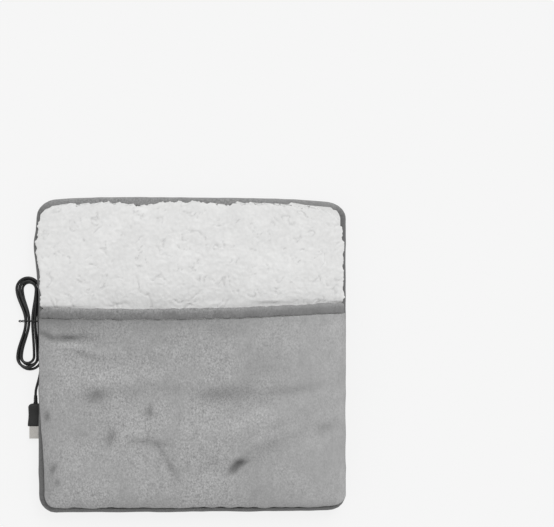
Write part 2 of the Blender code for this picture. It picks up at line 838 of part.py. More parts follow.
def least_gap(points, diameter):
    """The least clear distance between stretches that aren't neighbours along the cord."""
    fine = []
    for a, b in zip(points, points[1:]):
        fine += [a.lerp(b, share / 4) for share in range(4)]
    apart = [0.0]
    for a, b in zip(fine, fine[1:]):
        apart.append(apart[-1] + (b - a).length)
    least = math.inf
    for i, here in enumerate(fine):
        for j in range(i + 1, len(fine)):
            if apart[j] - apart[i] > 4 * diameter:
                least = min(least, (fine[j] - here).length)
    return least - diameter


def cord_lead_stops():
    x, y, z = outlet_x() - SEAT_GAP, OUTLET_Y, OUTLET_HEIGHT
    return (
        (x, y, z),
        (x - 0.0026, y, z - 0.0002),
        (-0.1484, 0.1300, 0.0032),
        (-0.1504, 0.1250, 0.0019),
        (-0.1508, 0.1180, 0.0014),
        (-0.1506, 0.1060, 0.0014),
        (-0.1502, 0.0960, 0.0014),
        (-0.1488, 0.0860, 0.0014),
        (-0.1462, 0.0750, 0.0014),
        (HANK_END_X, HANK_START_Y + CORD_DIAMETER, hank_route()[0].z),
        (HANK_END_X, HANK_START_Y + SEAT_GAP, hank_route()[0].z),
    )


def cord_tail_stops():
    end_x, end_y, high_z = hank_route()[-1]
    return (
        (end_x, end_y - SEAT_GAP, high_z),
        (end_x, end_y - CORD_DIAMETER, high_z),
        (-0.1470, -0.0150, 0.0045),
        (-0.1480, -0.0215, 0.0044),
        (-0.1499, -0.0285, 0.0039),
        (-0.1514, -0.0340, 0.0036),
        (PLUG_CENTRE_X, PLUG_START_Y + CORD_DIAMETER, PLUG_Z),
        (PLUG_CENTRE_X, PLUG_START_Y + SEAT_GAP, PLUG_Z),
    )


def free_cord(material):
    spacing = 2 * CORD_DIAMETER
    tube("cord_lead", smooth_route(cord_lead_stops(), spacing), CORD_DIAMETER, material)
    tube("cord_tail", smooth_route(cord_tail_stops(), spacing), CORD_DIAMETER, material)


def cord_hank(material):
    points = hank_route()
    tube("cord_hank", points, CORD_DIAMETER, material, 1)
    length = sum((b - a).length for a, b in zip(points, points[1:]))
    gap = least_gap(points, CORD_DIAMETER)
    print(f"Hank: {length * 1000:.0f} mm of cord, least gap to itself {gap * 1000:.2f} mm")
    for name, stops in (("Lead", cord_lead_stops()), ("Tail", cord_tail_stops())):
        route = smooth_route(stops, CORD_DIAMETER)
        length = sum((b - a).length for a, b in zip(route, route[1:]))
        print(f"{name}: {length * 1000:.0f} mm of cord")


def tie_route():
    """Round the waist, then both ends twisted together and pointing away from the pad."""
    turns = 2 * HANK_LAYER_TURNS + HANK_CLIMB_TURNS
    cord = [hank_point(turns * step / TIE_FIT_STEPS) for step in range(TIE_FIT_STEPS)]
    run_places = [point.x for point in cord if abs(point.y - HANK_WAIST_Y) < CORD_DIAMETER]
    middle_x = (max(run_places) + min(run_places)) / 2
    half_x = (max(run_places) - min(run_places) + CORD_DIAMETER + TIE_DIAMETER) / 2 + TIE_CLEARANCE
    low = HANK_LOW_Z + WAIST_LIFT - CORD_DIAMETER / 2
    high = low + HANK_LAYER_STEP + CORD_DIAMETER
    half_z = (high - low) / 2 + TIE_CLEARANCE + TIE_DIAMETER / 2
    middle_z = (low + high) / 2
    opening = 2 * TIE_TWIST_RADIUS
    loop = []
    for step in range(TIE_LOOP_POINTS + 1):
        angle = math.pi + math.tau * step / TIE_LOOP_POINTS
        x = half_x * math.copysign(abs(math.cos(angle)) ** TIE_SQUARENESS, math.cos(angle))
        z = half_z * math.copysign(abs(math.sin(angle)) ** TIE_SQUARENESS, math.sin(angle))
        slide = opening * (step / TIE_LOOP_POINTS - 0.5)
        loop.append(Vector((middle_x + x, HANK_WAIST_Y + slide, middle_z + z)))
    left_x = middle_x - half_x
    ends = []
    for side in (0, 1):
        strand = []
        for step in range(1, TIE_TWIST_STEPS + 1):
            share = step / TIE_TWIST_STEPS
            angle = math.tau * TIE_TWIST_TURNS * share + math.pi * side
            x = left_x - TIE_TWIST_LENGTH * share
            y = HANK_WAIST_Y - TIE_TWIST_RADIUS * math.cos(angle)
            z = middle_z + TIE_TWIST_RADIUS * math.sin(angle)
            strand.append(Vector((x, y, z)))
        ends.append(strand)
    return ends[0][::-1] + loop + ends[1]


def cord_tie(material):
    points = tie_route()
    tube("cord_tie", points, TIE_DIAMETER, material, 1)
    gap = least_gap(points, TIE_DIAMETER)
    print(f"Tie: least gap to itself {gap * 1000:.2f} mm")


# The plug


def plug_body(material):
    size = (PLUG_WIDTH, PLUG_BODY_LENGTH, PLUG_THICKNESS)
    piece = place("plug_body", box_mesh("plug_body", size, PLUG_EDGE), material)
    piece.location = (PLUG_CENTRE_X, (PLUG_BODY_START_Y + PLUG_BODY_END_Y) / 2, PLUG_Z)
    name = "relief_former"
    length = PLUG_RELIEF_LENGTH + CUT_OVERRUN
    former = place_cutter(
        name, cylinder_mesh(name, PLUG_RELIEF_DIAMETER, PLUG_THICKNESS - PLUG_EDGE, length)
    )
    former.rotation_euler.x = math.radians(90)
    former.location = (PLUG_CENTRE_X, PLUG_START_Y - length / 2, PLUG_Z)
    join_to(piece, former)
    seat = (
        SHELL_WIDTH + 2 * SEAT_GAP,
        SHELL_SEAT_DEPTH + SEAT_GAP + CUT_OVERRUN,
        SHELL_THICKNESS + 2 * SEAT_GAP,
    )
    cutter = place_cutter("shell_seat_cutter", box_mesh("shell_seat_cutter", seat))
    middle_y = PLUG_BODY_END_Y + (SHELL_SEAT_DEPTH + SEAT_GAP - CUT_OVERRUN) / 2
    cutter.location = (PLUG_CENTRE_X, middle_y, PLUG_Z)
    cut(piece, cutter)


def shell_section(half_width, half_height, corner):
    return [
        (-half_width + corner, -half_height),
        (half_width - corner, -half_height),
        (half_width, -half_height + corner),
        (half_width, half_height - corner),
        (half_width - corner, half_height),
        (-half_width + corner, half_height),
        (-half_width, half_height - corner),
        (-half_width, -half_height + corner),
    ]


def stand_along_y(piece, middle_y):
    piece.rotation_euler.x = math.radians(90)
    piece.location = (PLUG_CENTRE_X, middle_y, PLUG_Z)


def plug_shell(material):
    half_width = SHELL_WIDTH / 2
    half_height = SHELL_THICKNESS / 2
    outer = shell_section(half_width, half_height, SHELL_CORNER)
    inner = shell_section(half_width - SHELL_WALL, half_height - SHELL_WALL, SHELL_CORNER / 2)
    length = SHELL_REACH + SHELL_SEAT_DEPTH
    piece = place("plug_shell", outline_curve("plug_shell", [outer, inner], length), material)
    stand_along_y(piece, PLUG_BODY_END_Y + SHELL_SEAT_DEPTH - length / 2)


def plug_tongue(material):
    """An L-shaped insulator: its root fills the shell, its tongue lies along one wall."""
    inner_half_height = SHELL_THICKNESS / 2 - SHELL_WALL - SEAT_GAP
    width = SHELL_WIDTH - 2 * SHELL_WALL - 2 * SEAT_GAP
    root_y = PLUG_BODY_END_Y + SHELL_SEAT_DEPTH
    tip_y = PLUG_BODY_END_Y - SHELL_REACH + TONGUE_SETBACK
    root_end = root_y - TONGUE_ROOT_LENGTH
    step_z = inner_half_height - TONGUE_THICKNESS
    outline = [
        (root_y, -inner_half_height),
        (root_y, inner_half_height),
        (tip_y, inner_half_height),
        (tip_y, step_z),
        (root_end, step_z),
        (root_end, -inner_half_height),
    ]
    piece = place("plug_tongue", outline_curve("plug_tongue", [outline], width), material)
    piece.rotation_euler = (math.radians(90), 0, math.radians(90))
    piece.location = (PLUG_CENTRE_X, 0, PLUG_Z)


def plug_contacts(material):
    """Four contact strips that lie side by side under the tongue."""
    inner_half_height = SHELL_THICKNESS / 2 - SHELL_WALL - SEAT_GAP
    face_z = PLUG_Z + inner_half_height - TONGUE_THICKNESS
    root_end = PLUG_BODY_END_Y + SHELL_SEAT_DEPTH - TONGUE_ROOT_LENGTH
    middle_y = root_end - SEAT_GAP - CONTACT_LENGTH / 2
    mesh = box_mesh("plug_contact", (CONTACT_WIDTH, CONTACT_LENGTH, CONTACT_THICKNESS))
    for index in range(CONTACT_COUNT):
        x = PLUG_CENTRE_X + CONTACT_SPACING * (index - (CONTACT_COUNT - 1) / 2)
        piece = place(f"plug_contact_{index + 1}", mesh, material)
        piece.location = (x, middle_y, face_z - SEAT_GAP - CONTACT_THICKNESS / 2)


def main():
    clear_scene()
    grey_cloth = finish_of("grey_cloth", (0.27, 0.27, 0.27), 0.85)
    band_cloth = finish_of("band_cloth", (0.19, 0.19, 0.19), 0.85)
    white_plush = finish_of("white_plush", (0.80, 0.80, 0.79), 0.95)
    wadding = finish_of("wadding", (0.72, 0.72, 0.72), 0.95)
    felt = finish_of("felt", (0.55, 0.55, 0.52), 0.95)
    cover_cloth = finish_of("cover_cloth", (0.65, 0.65, 0.65), 0.9)
    black_cloth = finish_of("black_cloth", (0.022, 0.022, 0.022), 0.8)
    wire_sleeve = finish_of("wire_sleeve", (0.45, 0.05, 0.03), 0.5)
    cord_black = finish_of("cord_black", (0.012, 0.012, 0.012), 0.45)
    moulded_black = finish_of("moulded_black", (0.014, 0.014, 0.014), 0.4)
    nickel = finish_of("nickel", (0.62, 0.60, 0.57), 0.25, 1.0)
    gilt = finish_of("gilt", (0.75, 0.55, 0.25), 0.3, 1.0)
    nylon_white = finish_of("nylon_white", (0.75, 0.75, 0.73), 0.5)

    anti_slip_base(black_cloth)
    edge_band(band_cloth)
    padding_layers(wadding, felt, cover_cloth)
    upper_wadding(wadding)
    base_lining(white_plush)
    heating_wire(wire_sleeve)
    splice_sleeves(moulded_black)
    thermal_cutout(nylon_white)
    cord_anchor(moulded_black)
    inner_cord(cord_black)
    supply_leads(wire_sleeve)
    pocket_layers(grey_cloth, wadding, white_plush)
    mouth_hem(grey_cloth)
    free_cord(cord_black)
    cord_hank(cord_black)
    cord_tie(cord_black)
    plug_body(moulded_black)
    plug_shell(nickel)
    plug_tongue(nylon_white)
    plug_contacts(gilt)


main()
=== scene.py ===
import math

import bmesh
import bpy
from bpy.props import FloatProperty, FloatVectorProperty, PointerProperty
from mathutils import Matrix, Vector, noise


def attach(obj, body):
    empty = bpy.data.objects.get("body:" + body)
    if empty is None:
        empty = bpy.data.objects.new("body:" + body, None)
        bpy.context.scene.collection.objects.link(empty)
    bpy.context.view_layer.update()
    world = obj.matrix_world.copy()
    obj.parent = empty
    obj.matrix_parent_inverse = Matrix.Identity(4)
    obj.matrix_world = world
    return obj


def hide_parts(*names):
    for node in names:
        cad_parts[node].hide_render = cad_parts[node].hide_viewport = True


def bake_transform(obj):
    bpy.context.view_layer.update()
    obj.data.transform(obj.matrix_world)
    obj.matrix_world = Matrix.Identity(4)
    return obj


# Visual model of a flat heated foot pad: cloth, plush, cord and plug over the rigid frame.
# The pad lies on its back. X runs across it, Y towards the pocket's mouth and Z up.

bl_info = {
    "name": "Heated foot pad",
    "version": (1, 0, 0),
    "blender": (4, 5, 0),
    "location": "View3D > Sidebar > Foot pad",
    "description": "Builds the cloth, plush, cord and plug of a heated foot pad over its frame",
    "category": "Object",
}

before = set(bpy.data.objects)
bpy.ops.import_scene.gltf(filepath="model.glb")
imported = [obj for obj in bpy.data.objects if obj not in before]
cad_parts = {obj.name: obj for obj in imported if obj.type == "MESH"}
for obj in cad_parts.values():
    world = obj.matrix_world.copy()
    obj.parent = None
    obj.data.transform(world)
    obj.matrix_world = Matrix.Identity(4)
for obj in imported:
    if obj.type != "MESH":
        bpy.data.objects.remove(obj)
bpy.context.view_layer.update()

# The corners of a rectangle, in turn round its middle
CORNER_SIGNS = ((1, 1), (-1, 1), (-1, -1), (1, -1))

# The frame's heights, as rims and crowns: a layer's height is its edge plus its crown's share
SEAT_GAP = 0.0003
SEAM_CLEARANCE = 0.0002
CROWN_POWER = 4
WAVE_LENGTH = 0.096
WAVE_SLANT = 0.28
WAVE_SHARE = 1.3 / 15.9
PLUSH_LOW = (0.0139, 0.0040)
PLUSH_TOP = (0.0199, 0.0066)
POCKET_LOW = (0.0202, 0.0159)
POCKET_LINING_TOP = (0.0217, 0.0189)
POCKET_WADDING_LOW = (0.0220, 0.0189)
POCKET_WADDING_TOP = (0.0228, 0.0201)
POCKET_FRONT_LOW = (0.0231, 0.0201)
POCKET_TOP = (0.0247, 0.0201)

# The rim's section, from its inner edge below, round the outside, to its inner edge on top
RIM_REACH_UNDER = 0.0093
RIM_CLOTH = 0.0014
RIM_INSET_SHARES = (1.0, 0.86, 0.80, 0.72, 0.60, 0.25, 0.05, 0.0, 0.07, 0.23, 0.42)
RIM_HEIGHT_SHARES = (0.0, 0.0, 0.17, 0.34, 0.40, 0.44, 0.55, 0.68, 0.85, 0.96, 1.0)

# The cord's route, as in the frame
CORD_START = (-0.1430, 0.1325, 0.0044)
HANK_CENTRE_X = -0.158
HANK_TOP_Y = 0.0630
HANK_BOTTOM_Y = -0.0041
HANK_WAIST_Y = 0.032
HANK_INNER_RADIUS = 0.0062
HANK_LOOP_STEP = 0.0032
HANK_LAYER_STEP = 0.0031
HANK_LAYER_TURNS = 2.0
HANK_CLIMB_TURNS = 0.25
HANK_STEPS_PER_TURN = 48
HANK_BOTTOM_FAN = 0.0020
HANK_UPPER_SLIP = 0.0015
WAIST_RIGHT_SHIFT = 0.0030
WAIST_LEFT_SHIFT = 0.0011
WAIST_FLAT = 0.0010
WAIST_LIFT = 0.0017
WAIST_LIFT_REACH = 0.018
FLOOR_CLEARANCE = 0.0001
TIE_DIAMETER = 0.0010
TIE_CLEARANCE = 0.0006
TIE_FIT_STEPS = 240
TIE_LOOP_POINTS = 48
TIE_SQUARENESS = 0.4
TIE_TWIST_LENGTH = 0.0045
TIE_TWIST_TURNS = 0.75
TIE_TWIST_RADIUS = 0.00078
TIE_TWIST_STEPS = 16
PLUG_CENTRE_X = -0.1519
PLUG_START_Y = -0.0403
PLUG_Z = 0.0036
PLUG_WIDTH = 0.0150
PLUG_THICKNESS = 0.0070
PLUG_BODY_LENGTH = 0.0220
PLUG_RELIEF_LENGTH = 0.0080
PLUG_RELIEF_DIAMETER = 0.0042
PLUG_RIBS = 4
SHELL_WIDTH = 0.0120
SHELL_THICKNESS = 0.0045
SHELL_SEAT_DEPTH = 0.0050
SEAT_BEVEL = 0.0004
SEAT_CORNER = 0.0006

PLUG_CONTACTS = ("plug_contact_1", "plug_contact_2", "plug_contact_3", "plug_contact_4")

# The photograph's frame on the plane that the pad lies on
VIEW_CENTRE = (0.0832, 0.0881)
VIEW_WIDTH = 0.536
VIEW_PLANE_Z = 0.020
CAMERA_HEIGHT = 2.40
SENSOR_WIDTH = 36.0

# The pale floor and the soft light, which comes from WINDOW_SIDE and looks WINDOW_DEGREES wide
FLOOR_DARK = (0.915, 0.915, 0.915)
FLOOR_LIGHT = (0.925, 0.925, 0.925)
FLOOR_SIZE = 15.0
FLOOR_DROP = 0.0002
FLOOR_SHADOW_LIFT = 0.90
SKY_LIGHT = 0.62
WINDOW_LIGHT = 1.55
WINDOW_DEGREES = 35
WINDOW_SIDE = (0.35, 0.75, 1.15)


# Settings


def length(name, description, default):
    return FloatProperty(name=name, description=description, default=default, unit="LENGTH", precision=5)


def colour(name, description, default):
    return FloatVectorProperty(name=name, description=description, default=default, subtype="COLOR", size=3)


class FootPadSizes(bpy.types.PropertyGroup):
    half_width: length("Half width", "Half the pad's width over the rim", 0.1500)
    half_length: length("Half length", "Half the pad's length over the rim", 0.1525)
    corner: length("Corner radius", "Radius of the pad's corners", 0.0180)
    rim_height: length("Rim height", "Height of the rim above the floor", 0.0215)
    sewn_half_width: length("Sewn half width", "Half the width between the side seams", 0.1446)
    sewn_half_length: length("Sewn half length", "Half the length between the end seams", 0.1471)
    sewn_corner: length("Sewn corner radius", "Radius of the seams' corners", 0.0126)
    mouth: length("Mouth", "How far above the middle the pocket's mouth lies", 0.0345)
    mouth_slant: length("Mouth slant", "How much the mouth rises from its middle to its right seam", 0.0026)
    mouth_bow: length("Mouth bow", "How much both ends of the mouth turn up", 0.0034)
    hem: length("Hem width", "Width of the rolled hem at the mouth, without its lip", 0.0108)
    pile: length("Pile", "Height of the plush's curls", 0.0021)
    cord: length("Cord diameter", "Diameter of the cord", 0.0026)


class FootPadColours(bpy.types.PropertyGroup):
    front: colour("Pocket front", "Grey velvet of the pocket", (0.365, 0.365, 0.365))
    hem: colour("Hem", "Velvet of the rolled hem", (0.280, 0.280, 0.280))
    band: colour("Edge band", "Velvet of the rim", (0.250, 0.250, 0.250))
    plush: colour("Plush", "White curled plush", (0.76, 0.76, 0.755))
    grip: colour("Grip cloth", "Dark cloth under the pad", (0.022, 0.022, 0.022))
    jacket: colour("Cord jacket", "Soft plastic of the cord", (0.012, 0.012, 0.012))
    moulded: colour("Moulding", "Moulded plastic of the plug", (0.014, 0.014, 0.014))
    nickel: colour("Nickel", "Plated shell of the plug", (0.62, 0.60, 0.57))
    gilt: colour("Gilt", "Plated contacts", (0.75, 0.55, 0.25))
    nylon: colour("Nylon", "White moulded nylon", (0.75, 0.75, 0.73))
    wadding: colour("Wadding", "Loose fibre filling", (0.72, 0.72, 0.72))
    felt: colour("Felt", "Felt that carries the wire", (0.55, 0.55, 0.52))
    cover: colour("Cover", "Thin cloth over the wire", (0.65, 0.65, 0.65))
    sleeve: colour("Wire sleeve", "Sleeve of the heating wire", (0.45, 0.05, 0.03))


# Node materials

# How dark painted shade makes the pile at its darkest, and how many waves the wave node draws per unit of
# scale
PAINTED_SHADE_TONE = 0.35
WAVES_PER_SCALE = 20
# Looks used by several pieces: the fibres' scale, contrast and relief, and the nylon's finish
WADDING_LOOK = (420.0, 0.10, 0.0012)
NYLON_LOOK = (0.5, 3000.0, 0.00004, 0.05)


class Flow:
    """A shader socket that can stand in a sum."""

    def __init__(self, shade, socket):
        self.shade = shade
        self.socket = socket

    def __add__(self, other):
        return self.shade.math("ADD", self, other)

    def __sub__(self, other):
        return self.shade.math("SUBTRACT", self, other)

    def __rsub__(self, other):
        return self.shade.math("SUBTRACT", other, self)

    def __mul__(self, other):
        return self.shade.math("MULTIPLY", self, other)


class Shade:
    """One node material round a Principled shader."""

    def __init__(self, name, **uniform):
        self.material = bpy.data.materials.new(name)
        self.material.use_nodes = True
        self.tree = self.material.node_tree
        self.shader = self.tree.nodes["Principled BSDF"]
        self.finish(**uniform)

    def feed(self, value, socket):
        if isinstance(value, Flow):
            self.tree.links.new(value.socket, socket)
        else:
            socket.default_value = value

    def node(self, kind, settings, inputs, output=0):
        node = self.tree.nodes.new(kind)
        for name, value in settings.items():
            setattr(node, name, value)
        for name, value in inputs.items():
            self.feed(value, node.inputs[name])
        return Flow(self, node.outputs[output])

    def math(self, operation, first, second=0.0):
        return self.node("ShaderNodeMath", {"operation": operation}, {0: first, 1: second})

    def place(self):
        return self.node("ShaderNodeTexCoord", {}, {}, "Object")

    def stretch(self, place, by):
        return self.node("ShaderNodeVectorMath", {"operation": "MULTIPLY"}, {0: place, 1: by})

    def shift(self, place, by):
        return self.node("ShaderNodeVectorMath", {"operation": "ADD"}, {0: place, 1: by})

    def noise(self, place, scale, detail=3.0, roughness=0.6, output=0):
        inputs = {"Vector": place, "Scale": scale, "Detail": detail, "Roughness": roughness}
        return self.node("ShaderNodeTexNoise", {}, inputs, output)

    def cells(self, place, scale, feature="F1"):
        return self.node("ShaderNodeTexVoronoi", {"feature": feature}, {"Vector": place, "Scale": scale})

    def attribute(self, name):
        return self.node("ShaderNodeAttribute", {"attribute_name": name}, {}, "Fac")

    def spread(self, value, low, high, to_low=0.0, to_high=1.0):
        inputs = {"Value": value, "From Min": low, "From Max": high, "To Min": to_low, "To Max": to_high}
        return self.node("ShaderNodeMapRange", {}, inputs)

    def darken(self, share, tint, low):
        return self.node("ShaderNodeMix", {"data_type": "RGBA"}, {0: share, 6: (*low, 1.0), 7: tint}, 2)

    def tint(self, share, base, low, high):
        """The base colour from low times darker to high times lighter, by the share."""
        light = [min(1.0, part * high) for part in base]
        return self.darken(share, (*light, 1.0), [part * low for part in base])

    def bump(self, height, strength, distance, normal=None):
        inputs = {"Height": height, "Strength": strength, "Distance": distance}
        if normal:
            inputs["Normal"] = normal
        return self.node("ShaderNodeBump", {}, inputs)

    def ray(self, kind):
        return self.node("ShaderNodeLightPath", {}, {}, kind)

    def lighten(self, share, tint):
        """Mixes the shader with its own colour as light, so that shadows on it stay faint."""
        glow = self.node("ShaderNodeEmission", {}, {"Color": tint, "Strength": 1.0})
        plain = Flow(self, self.shader.outputs[0])
        mixed = self.node("ShaderNodeMixShader", {}, {0: share, 1: plain, 2: glow})
        self.feed(mixed, self.tree.nodes["Material Output"].inputs["Surface"])

    def finish(self, **values):
        for name, value in values.items():
            label = name.replace("_", " ").title().replace("Ior", "IOR")
            self.feed(value, self.shader.inputs[label])
        return self.material


def velvet(name, tint, contrast=0.32):
    """Short brushed pile: broad mottling, brushed patches, the pile's own grain, and painted shade from each
    vertex's share.
    """
    shade = Shade(name, roughness=0.92, sheen_weight=0.12, sheen_roughness=0.5, specular_ior_level=0.15)
    place = shade.place()
    mottling = shade.noise(place, 24.0, 3.0, 0.55)
    patches = shade.noise(shade.stretch(place, (1.0, 0.6, 1.0)), 150.0, 3.0, 0.6)
    grain = shade.noise(shade.stretch(place, (1.0, 0.75, 1.0)), 620.0, 4.0, 0.8)
    # The pile is brushed smoother in patches and towards the right
    rough = shade.spread(shade.node("ShaderNodeSeparateXYZ", {}, {"Vector": place}), 0.02, 0.12, 1.25, 0.56)
    rough *= shade.spread(mottling, 0.38, 0.62, 0.60, 1.40)
    tone = shade.spread(mottling * 0.2 + patches * 0.2 + (grain - 0.5) * rough + 0.3, 0.30, 0.70)
    pile_tint = shade.tint(tone, tint, 1 - contrast, 1 + contrast)
    # Painted shade: the pile darkens towards a shade colour by each vertex's painted shade share
    shade_tint = [part * PAINTED_SHADE_TONE for part in tint]
    shaded_pile = shade.darken(1.0 - shade.attribute("painted_shade_share"), pile_tint, shade_tint)
    relief = shade.bump(patches, 0.25, 0.0012, shade.bump(grain, 0.45, 0.0004))
    finish = shade.spread(patches, 0.3, 0.7, 0.86, 0.98)
    return shade.finish(base_color=shaded_pile, roughness=finish, normal=relief)


def curled_plush(name, tint):
    """White pile in small curls, with painted shade down between them."""
    shade = Shade(name, roughness=0.95, sheen_weight=0.15, sheen_roughness=0.6, specular_ior_level=0.1)
    place = shade.place()
    warp = shade.noise(place, 260.0, 2.0, 0.5, "Color")
    warped = shade.shift(place, shade.stretch(warp, (0.0035, 0.0035, 0.0035)))
    curls = shade.cells(warped, 330.0)
    fibre = shade.noise(warped, 1500.0, 2.0, 0.7)
    patches = shade.noise(place, 38.0, 3.0, 0.55)
    # Painted shade: darker in the valleys and creases between the curls, from each vertex's curl height and
    # the cells; the patches add random tone
    valley_shade_and_tone = shade.attribute("curl_share") * 0.62 + (patches - 0.5) * 0.5
    tone = shade.spread(valley_shade_and_tone + fibre * 0.16 + (1.0 - curls) * 0.13, 0.17, 0.72)
    relief = shade.bump(fibre, 0.35, 0.0004, shade.bump(1.0 - curls, 0.22, 0.0006))
    return shade.finish(base_color=shade.tint(tone, tint, 0.81, 1.04), normal=relief)


def fibre_sheet(name, tint, scale, contrast, rise):
    """Wadding or felt: fibres that cross in all directions."""
    shade = Shade(name, roughness=0.97, sheen_weight=0.08, specular_ior_level=0.1)
    place = shade.place()
    along = shade.noise(shade.stretch(place, (0.25, 1.0, 1.0)), scale, 3.0, 0.65)
    across = shade.noise(shade.stretch(place, (1.0, 0.25, 1.0)), scale, 3.0, 0.65)
    clouds = shade.noise(place, scale * 0.06, 2.0, 0.5)
    tone = shade.spread(along * 0.35 + across * 0.35 + clouds * 0.3, 0.38, 0.62)
    relief = shade.bump(along + across, 0.6, rise)
    return shade.finish(base_color=shade.tint(tone, tint, 1 - contrast, 1 + contrast), normal=relief)


def woven_sheet(name, tint, threads, contrast, roughness):
    """Plain weave with that many threads to the metre."""
    shade = Shade(name, roughness=roughness, specular_ior_level=0.3)
    place = shade.place()
    inputs = {"Vector": place, "Scale": threads * math.tau / WAVES_PER_SCALE}
    threads_each_way = []
    for direction in ("X", "Y"):
        waves = {"wave_type": "BANDS", "wave_profile": "SIN", "bands_direction": direction}
        threads_each_way.append(shade.node("ShaderNodeTexWave", waves, inputs, 1))
    warp, weft = threads_each_way
    clouds = shade.noise(place, 30.0, 3.0, 0.6)
    slubs = shade.noise(shade.stretch(place, (0.1, 1.0, 1.0)), threads * 0.6, 2.0, 0.6)
    tone = shade.spread(warp * 0.3 + weft * 0.3 + clouds * 0.2 + slubs * 0.2, 0.2, 0.8)
    woven_tint = shade.tint(tone, tint, 1 - contrast, 1 + contrast)
    relief = shade.bump(clouds, 0.15, 0.003, shade.bump(warp + weft, 0.5, 0.0003))
    rough = shade.spread(slubs, 0.3, 0.7, roughness - 0.06, roughness + 0.06)
    return shade.finish(base_color=woven_tint, roughness=rough, normal=relief)


def soft_plastic(name, tint, roughness, grain_scale, rise, contrast=0.25):
    """Moulded or extruded plastic with handling marks and a fine texture."""
    shade = Shade(name, roughness=roughness, specular_ior_level=0.45)
    place = shade.place()
    marks = shade.noise(place, 120.0, 4.0, 0.65)
    grain = shade.noise(place, grain_scale, 2.0, 0.6)
    marked = shade.tint(marks, tint, 1 - contrast, 1 + contrast)
    rough = shade.spread(marks, 0.35, 0.65, roughness - 0.08, roughness + 0.10)
    return shade.finish(base_color=marked, roughness=rough, normal=shade.bump(grain, 0.3, rise))


def plated_metal(name, tint, roughness):
    """Plating with fine drawing lines along Y and faint handling marks."""
    shade = Shade(name, roughness=roughness, metallic=1.0)
    place = shade.place()
    lines = shade.noise(shade.stretch(place, (1.0, 0.02, 1.0)), 9000.0, 2.0, 0.6)
    marks = shade.noise(place, 300.0, 3.0, 0.6)
    marked = shade.tint(marks, tint, 0.9, 1.05)
    rough = shade.spread(lines * 0.6 + marks * 0.4, 0.3, 0.7, roughness - 0.07, roughness + 0.12)
    return shade.finish(base_color=marked, roughness=rough, normal=shade.bump(lines, 0.12, 0.0001))


# Mesh work


def add_object(name, builder, material):
    """Turns a bmesh into a smooth-shaded object with one material."""
    mesh = bpy.data.meshes.new(name)
    bmesh.ops.recalc_face_normals(builder, faces=builder.faces[:])
    builder.to_mesh(mesh)
    builder.free()
    mesh.shade_smooth()
    mesh.materials.append(material)
    piece = bpy.data.objects.new(name, mesh)
    bpy.context.scene.collection.objects.link(piece)
    return piece


def sharpen(piece, degrees):
    """Marks the edges that turn more than so many degrees as sharp."""
    mesh = piece.data
    builder = bmesh.new()
    builder.from_mesh(mesh)
    for edge in builder.edges:
        if len(edge.link_faces) == 2:
            edge.smooth = edge.calc_face_angle() < math.radians(degrees)
    builder.to_mesh(mesh)
    builder.free()


def store_share(piece, name, values, others_first=False):
    """Keeps one number per vertex for the material to read, and 0.5 for the vertices without one."""
    values = list(values)
    others = [0.5] * (len(piece.data.vertices) - len(values))
    attribute = piece.data.attributes.new(name, "FLOAT", "POINT")
    attribute.data.foreach_set("value", others + values if others_first else values + others)


def rings_to_mesh(builder, rings, closed_along):
    """Joins rings of vertices into a tube and caps its ends unless it runs round on itself."""
    count = len(rings[0])
    last = len(rings) if closed_along else len(rings) - 1
    for index in range(last):
        here = rings[index]
        there = rings[(index + 1) % len(rings)]
        for step in range(count):
            after = (step + 1) % count
            builder.faces.new((here[step], here[after], there[after], there[step]))
    if not closed_along:
        builder.faces.new(rings[0])
        builder.faces.new(rings[-1])


def smooth_line(stops, parts):
    """Points on a smooth curve through the stops, so many to each stretch."""
    points = []
    for index in range(len(stops) - 1):
        before = stops[max(index - 1, 0)]
        start = stops[index]
        end = stops[index + 1]
        after = stops[min(index + 2, len(stops) - 1)]
        slope = end - before
        bend = 2 * before - 5 * start + 4 * end - after
        turn = 3 * start - before - 3 * end + after
        for step in range(parts):
            t = step / parts
            points.append(0.5 * (2 * start + slope * t + bend * t * t + turn * t * t * t))
    points.append(stops[-1].copy())
    return points


def blend_step(value, low, high):
    """0 below low, 1 above high, and smooth between."""
    share = min(1.0, max(0.0, (value - low) / (high - low)))
    return share * share * (3 - 2 * share)


def bell(off, reach):
    """1 in the middle, falling smoothly to nothing beyond the reach."""
    return math.exp(-((off / reach) ** 2))


def signed_power(value, power):
    return math.copysign(abs(value) ** power, value)


def circle(sides):
    """The cosine and sine of each step round a circle."""
    angles = [math.tau * step / sides for step in range(sides)]
    return [(math.cos(angle), math.sin(angle)) for angle in angles]


def settings():
    scene = bpy.context.scene
    return scene.foot_pad_sizes, scene.foot_pad_colours


# The cord, its tie and its plug


def waist_share(y, bottom_y):
    """0 at the ends of a hank's run, 1 at the waist."""
    if y > HANK_WAIST_Y:
        return 1 - blend_step(y, HANK_WAIST_Y + WAIST_FLAT, HANK_TOP_Y)
    return blend_step(y, bottom_y, HANK_WAIST_Y - WAIST_FLAT)


def waist_x(side, radius):
    """Where a run of the right or left side lies under the tie, close beside its neighbours."""
    shift = WAIST_RIGHT_SHIFT if side > 0 else WAIST_LEFT_SHIFT
    return HANK_CENTRE_X + shift + side * (radius - HANK_INNER_RADIUS)


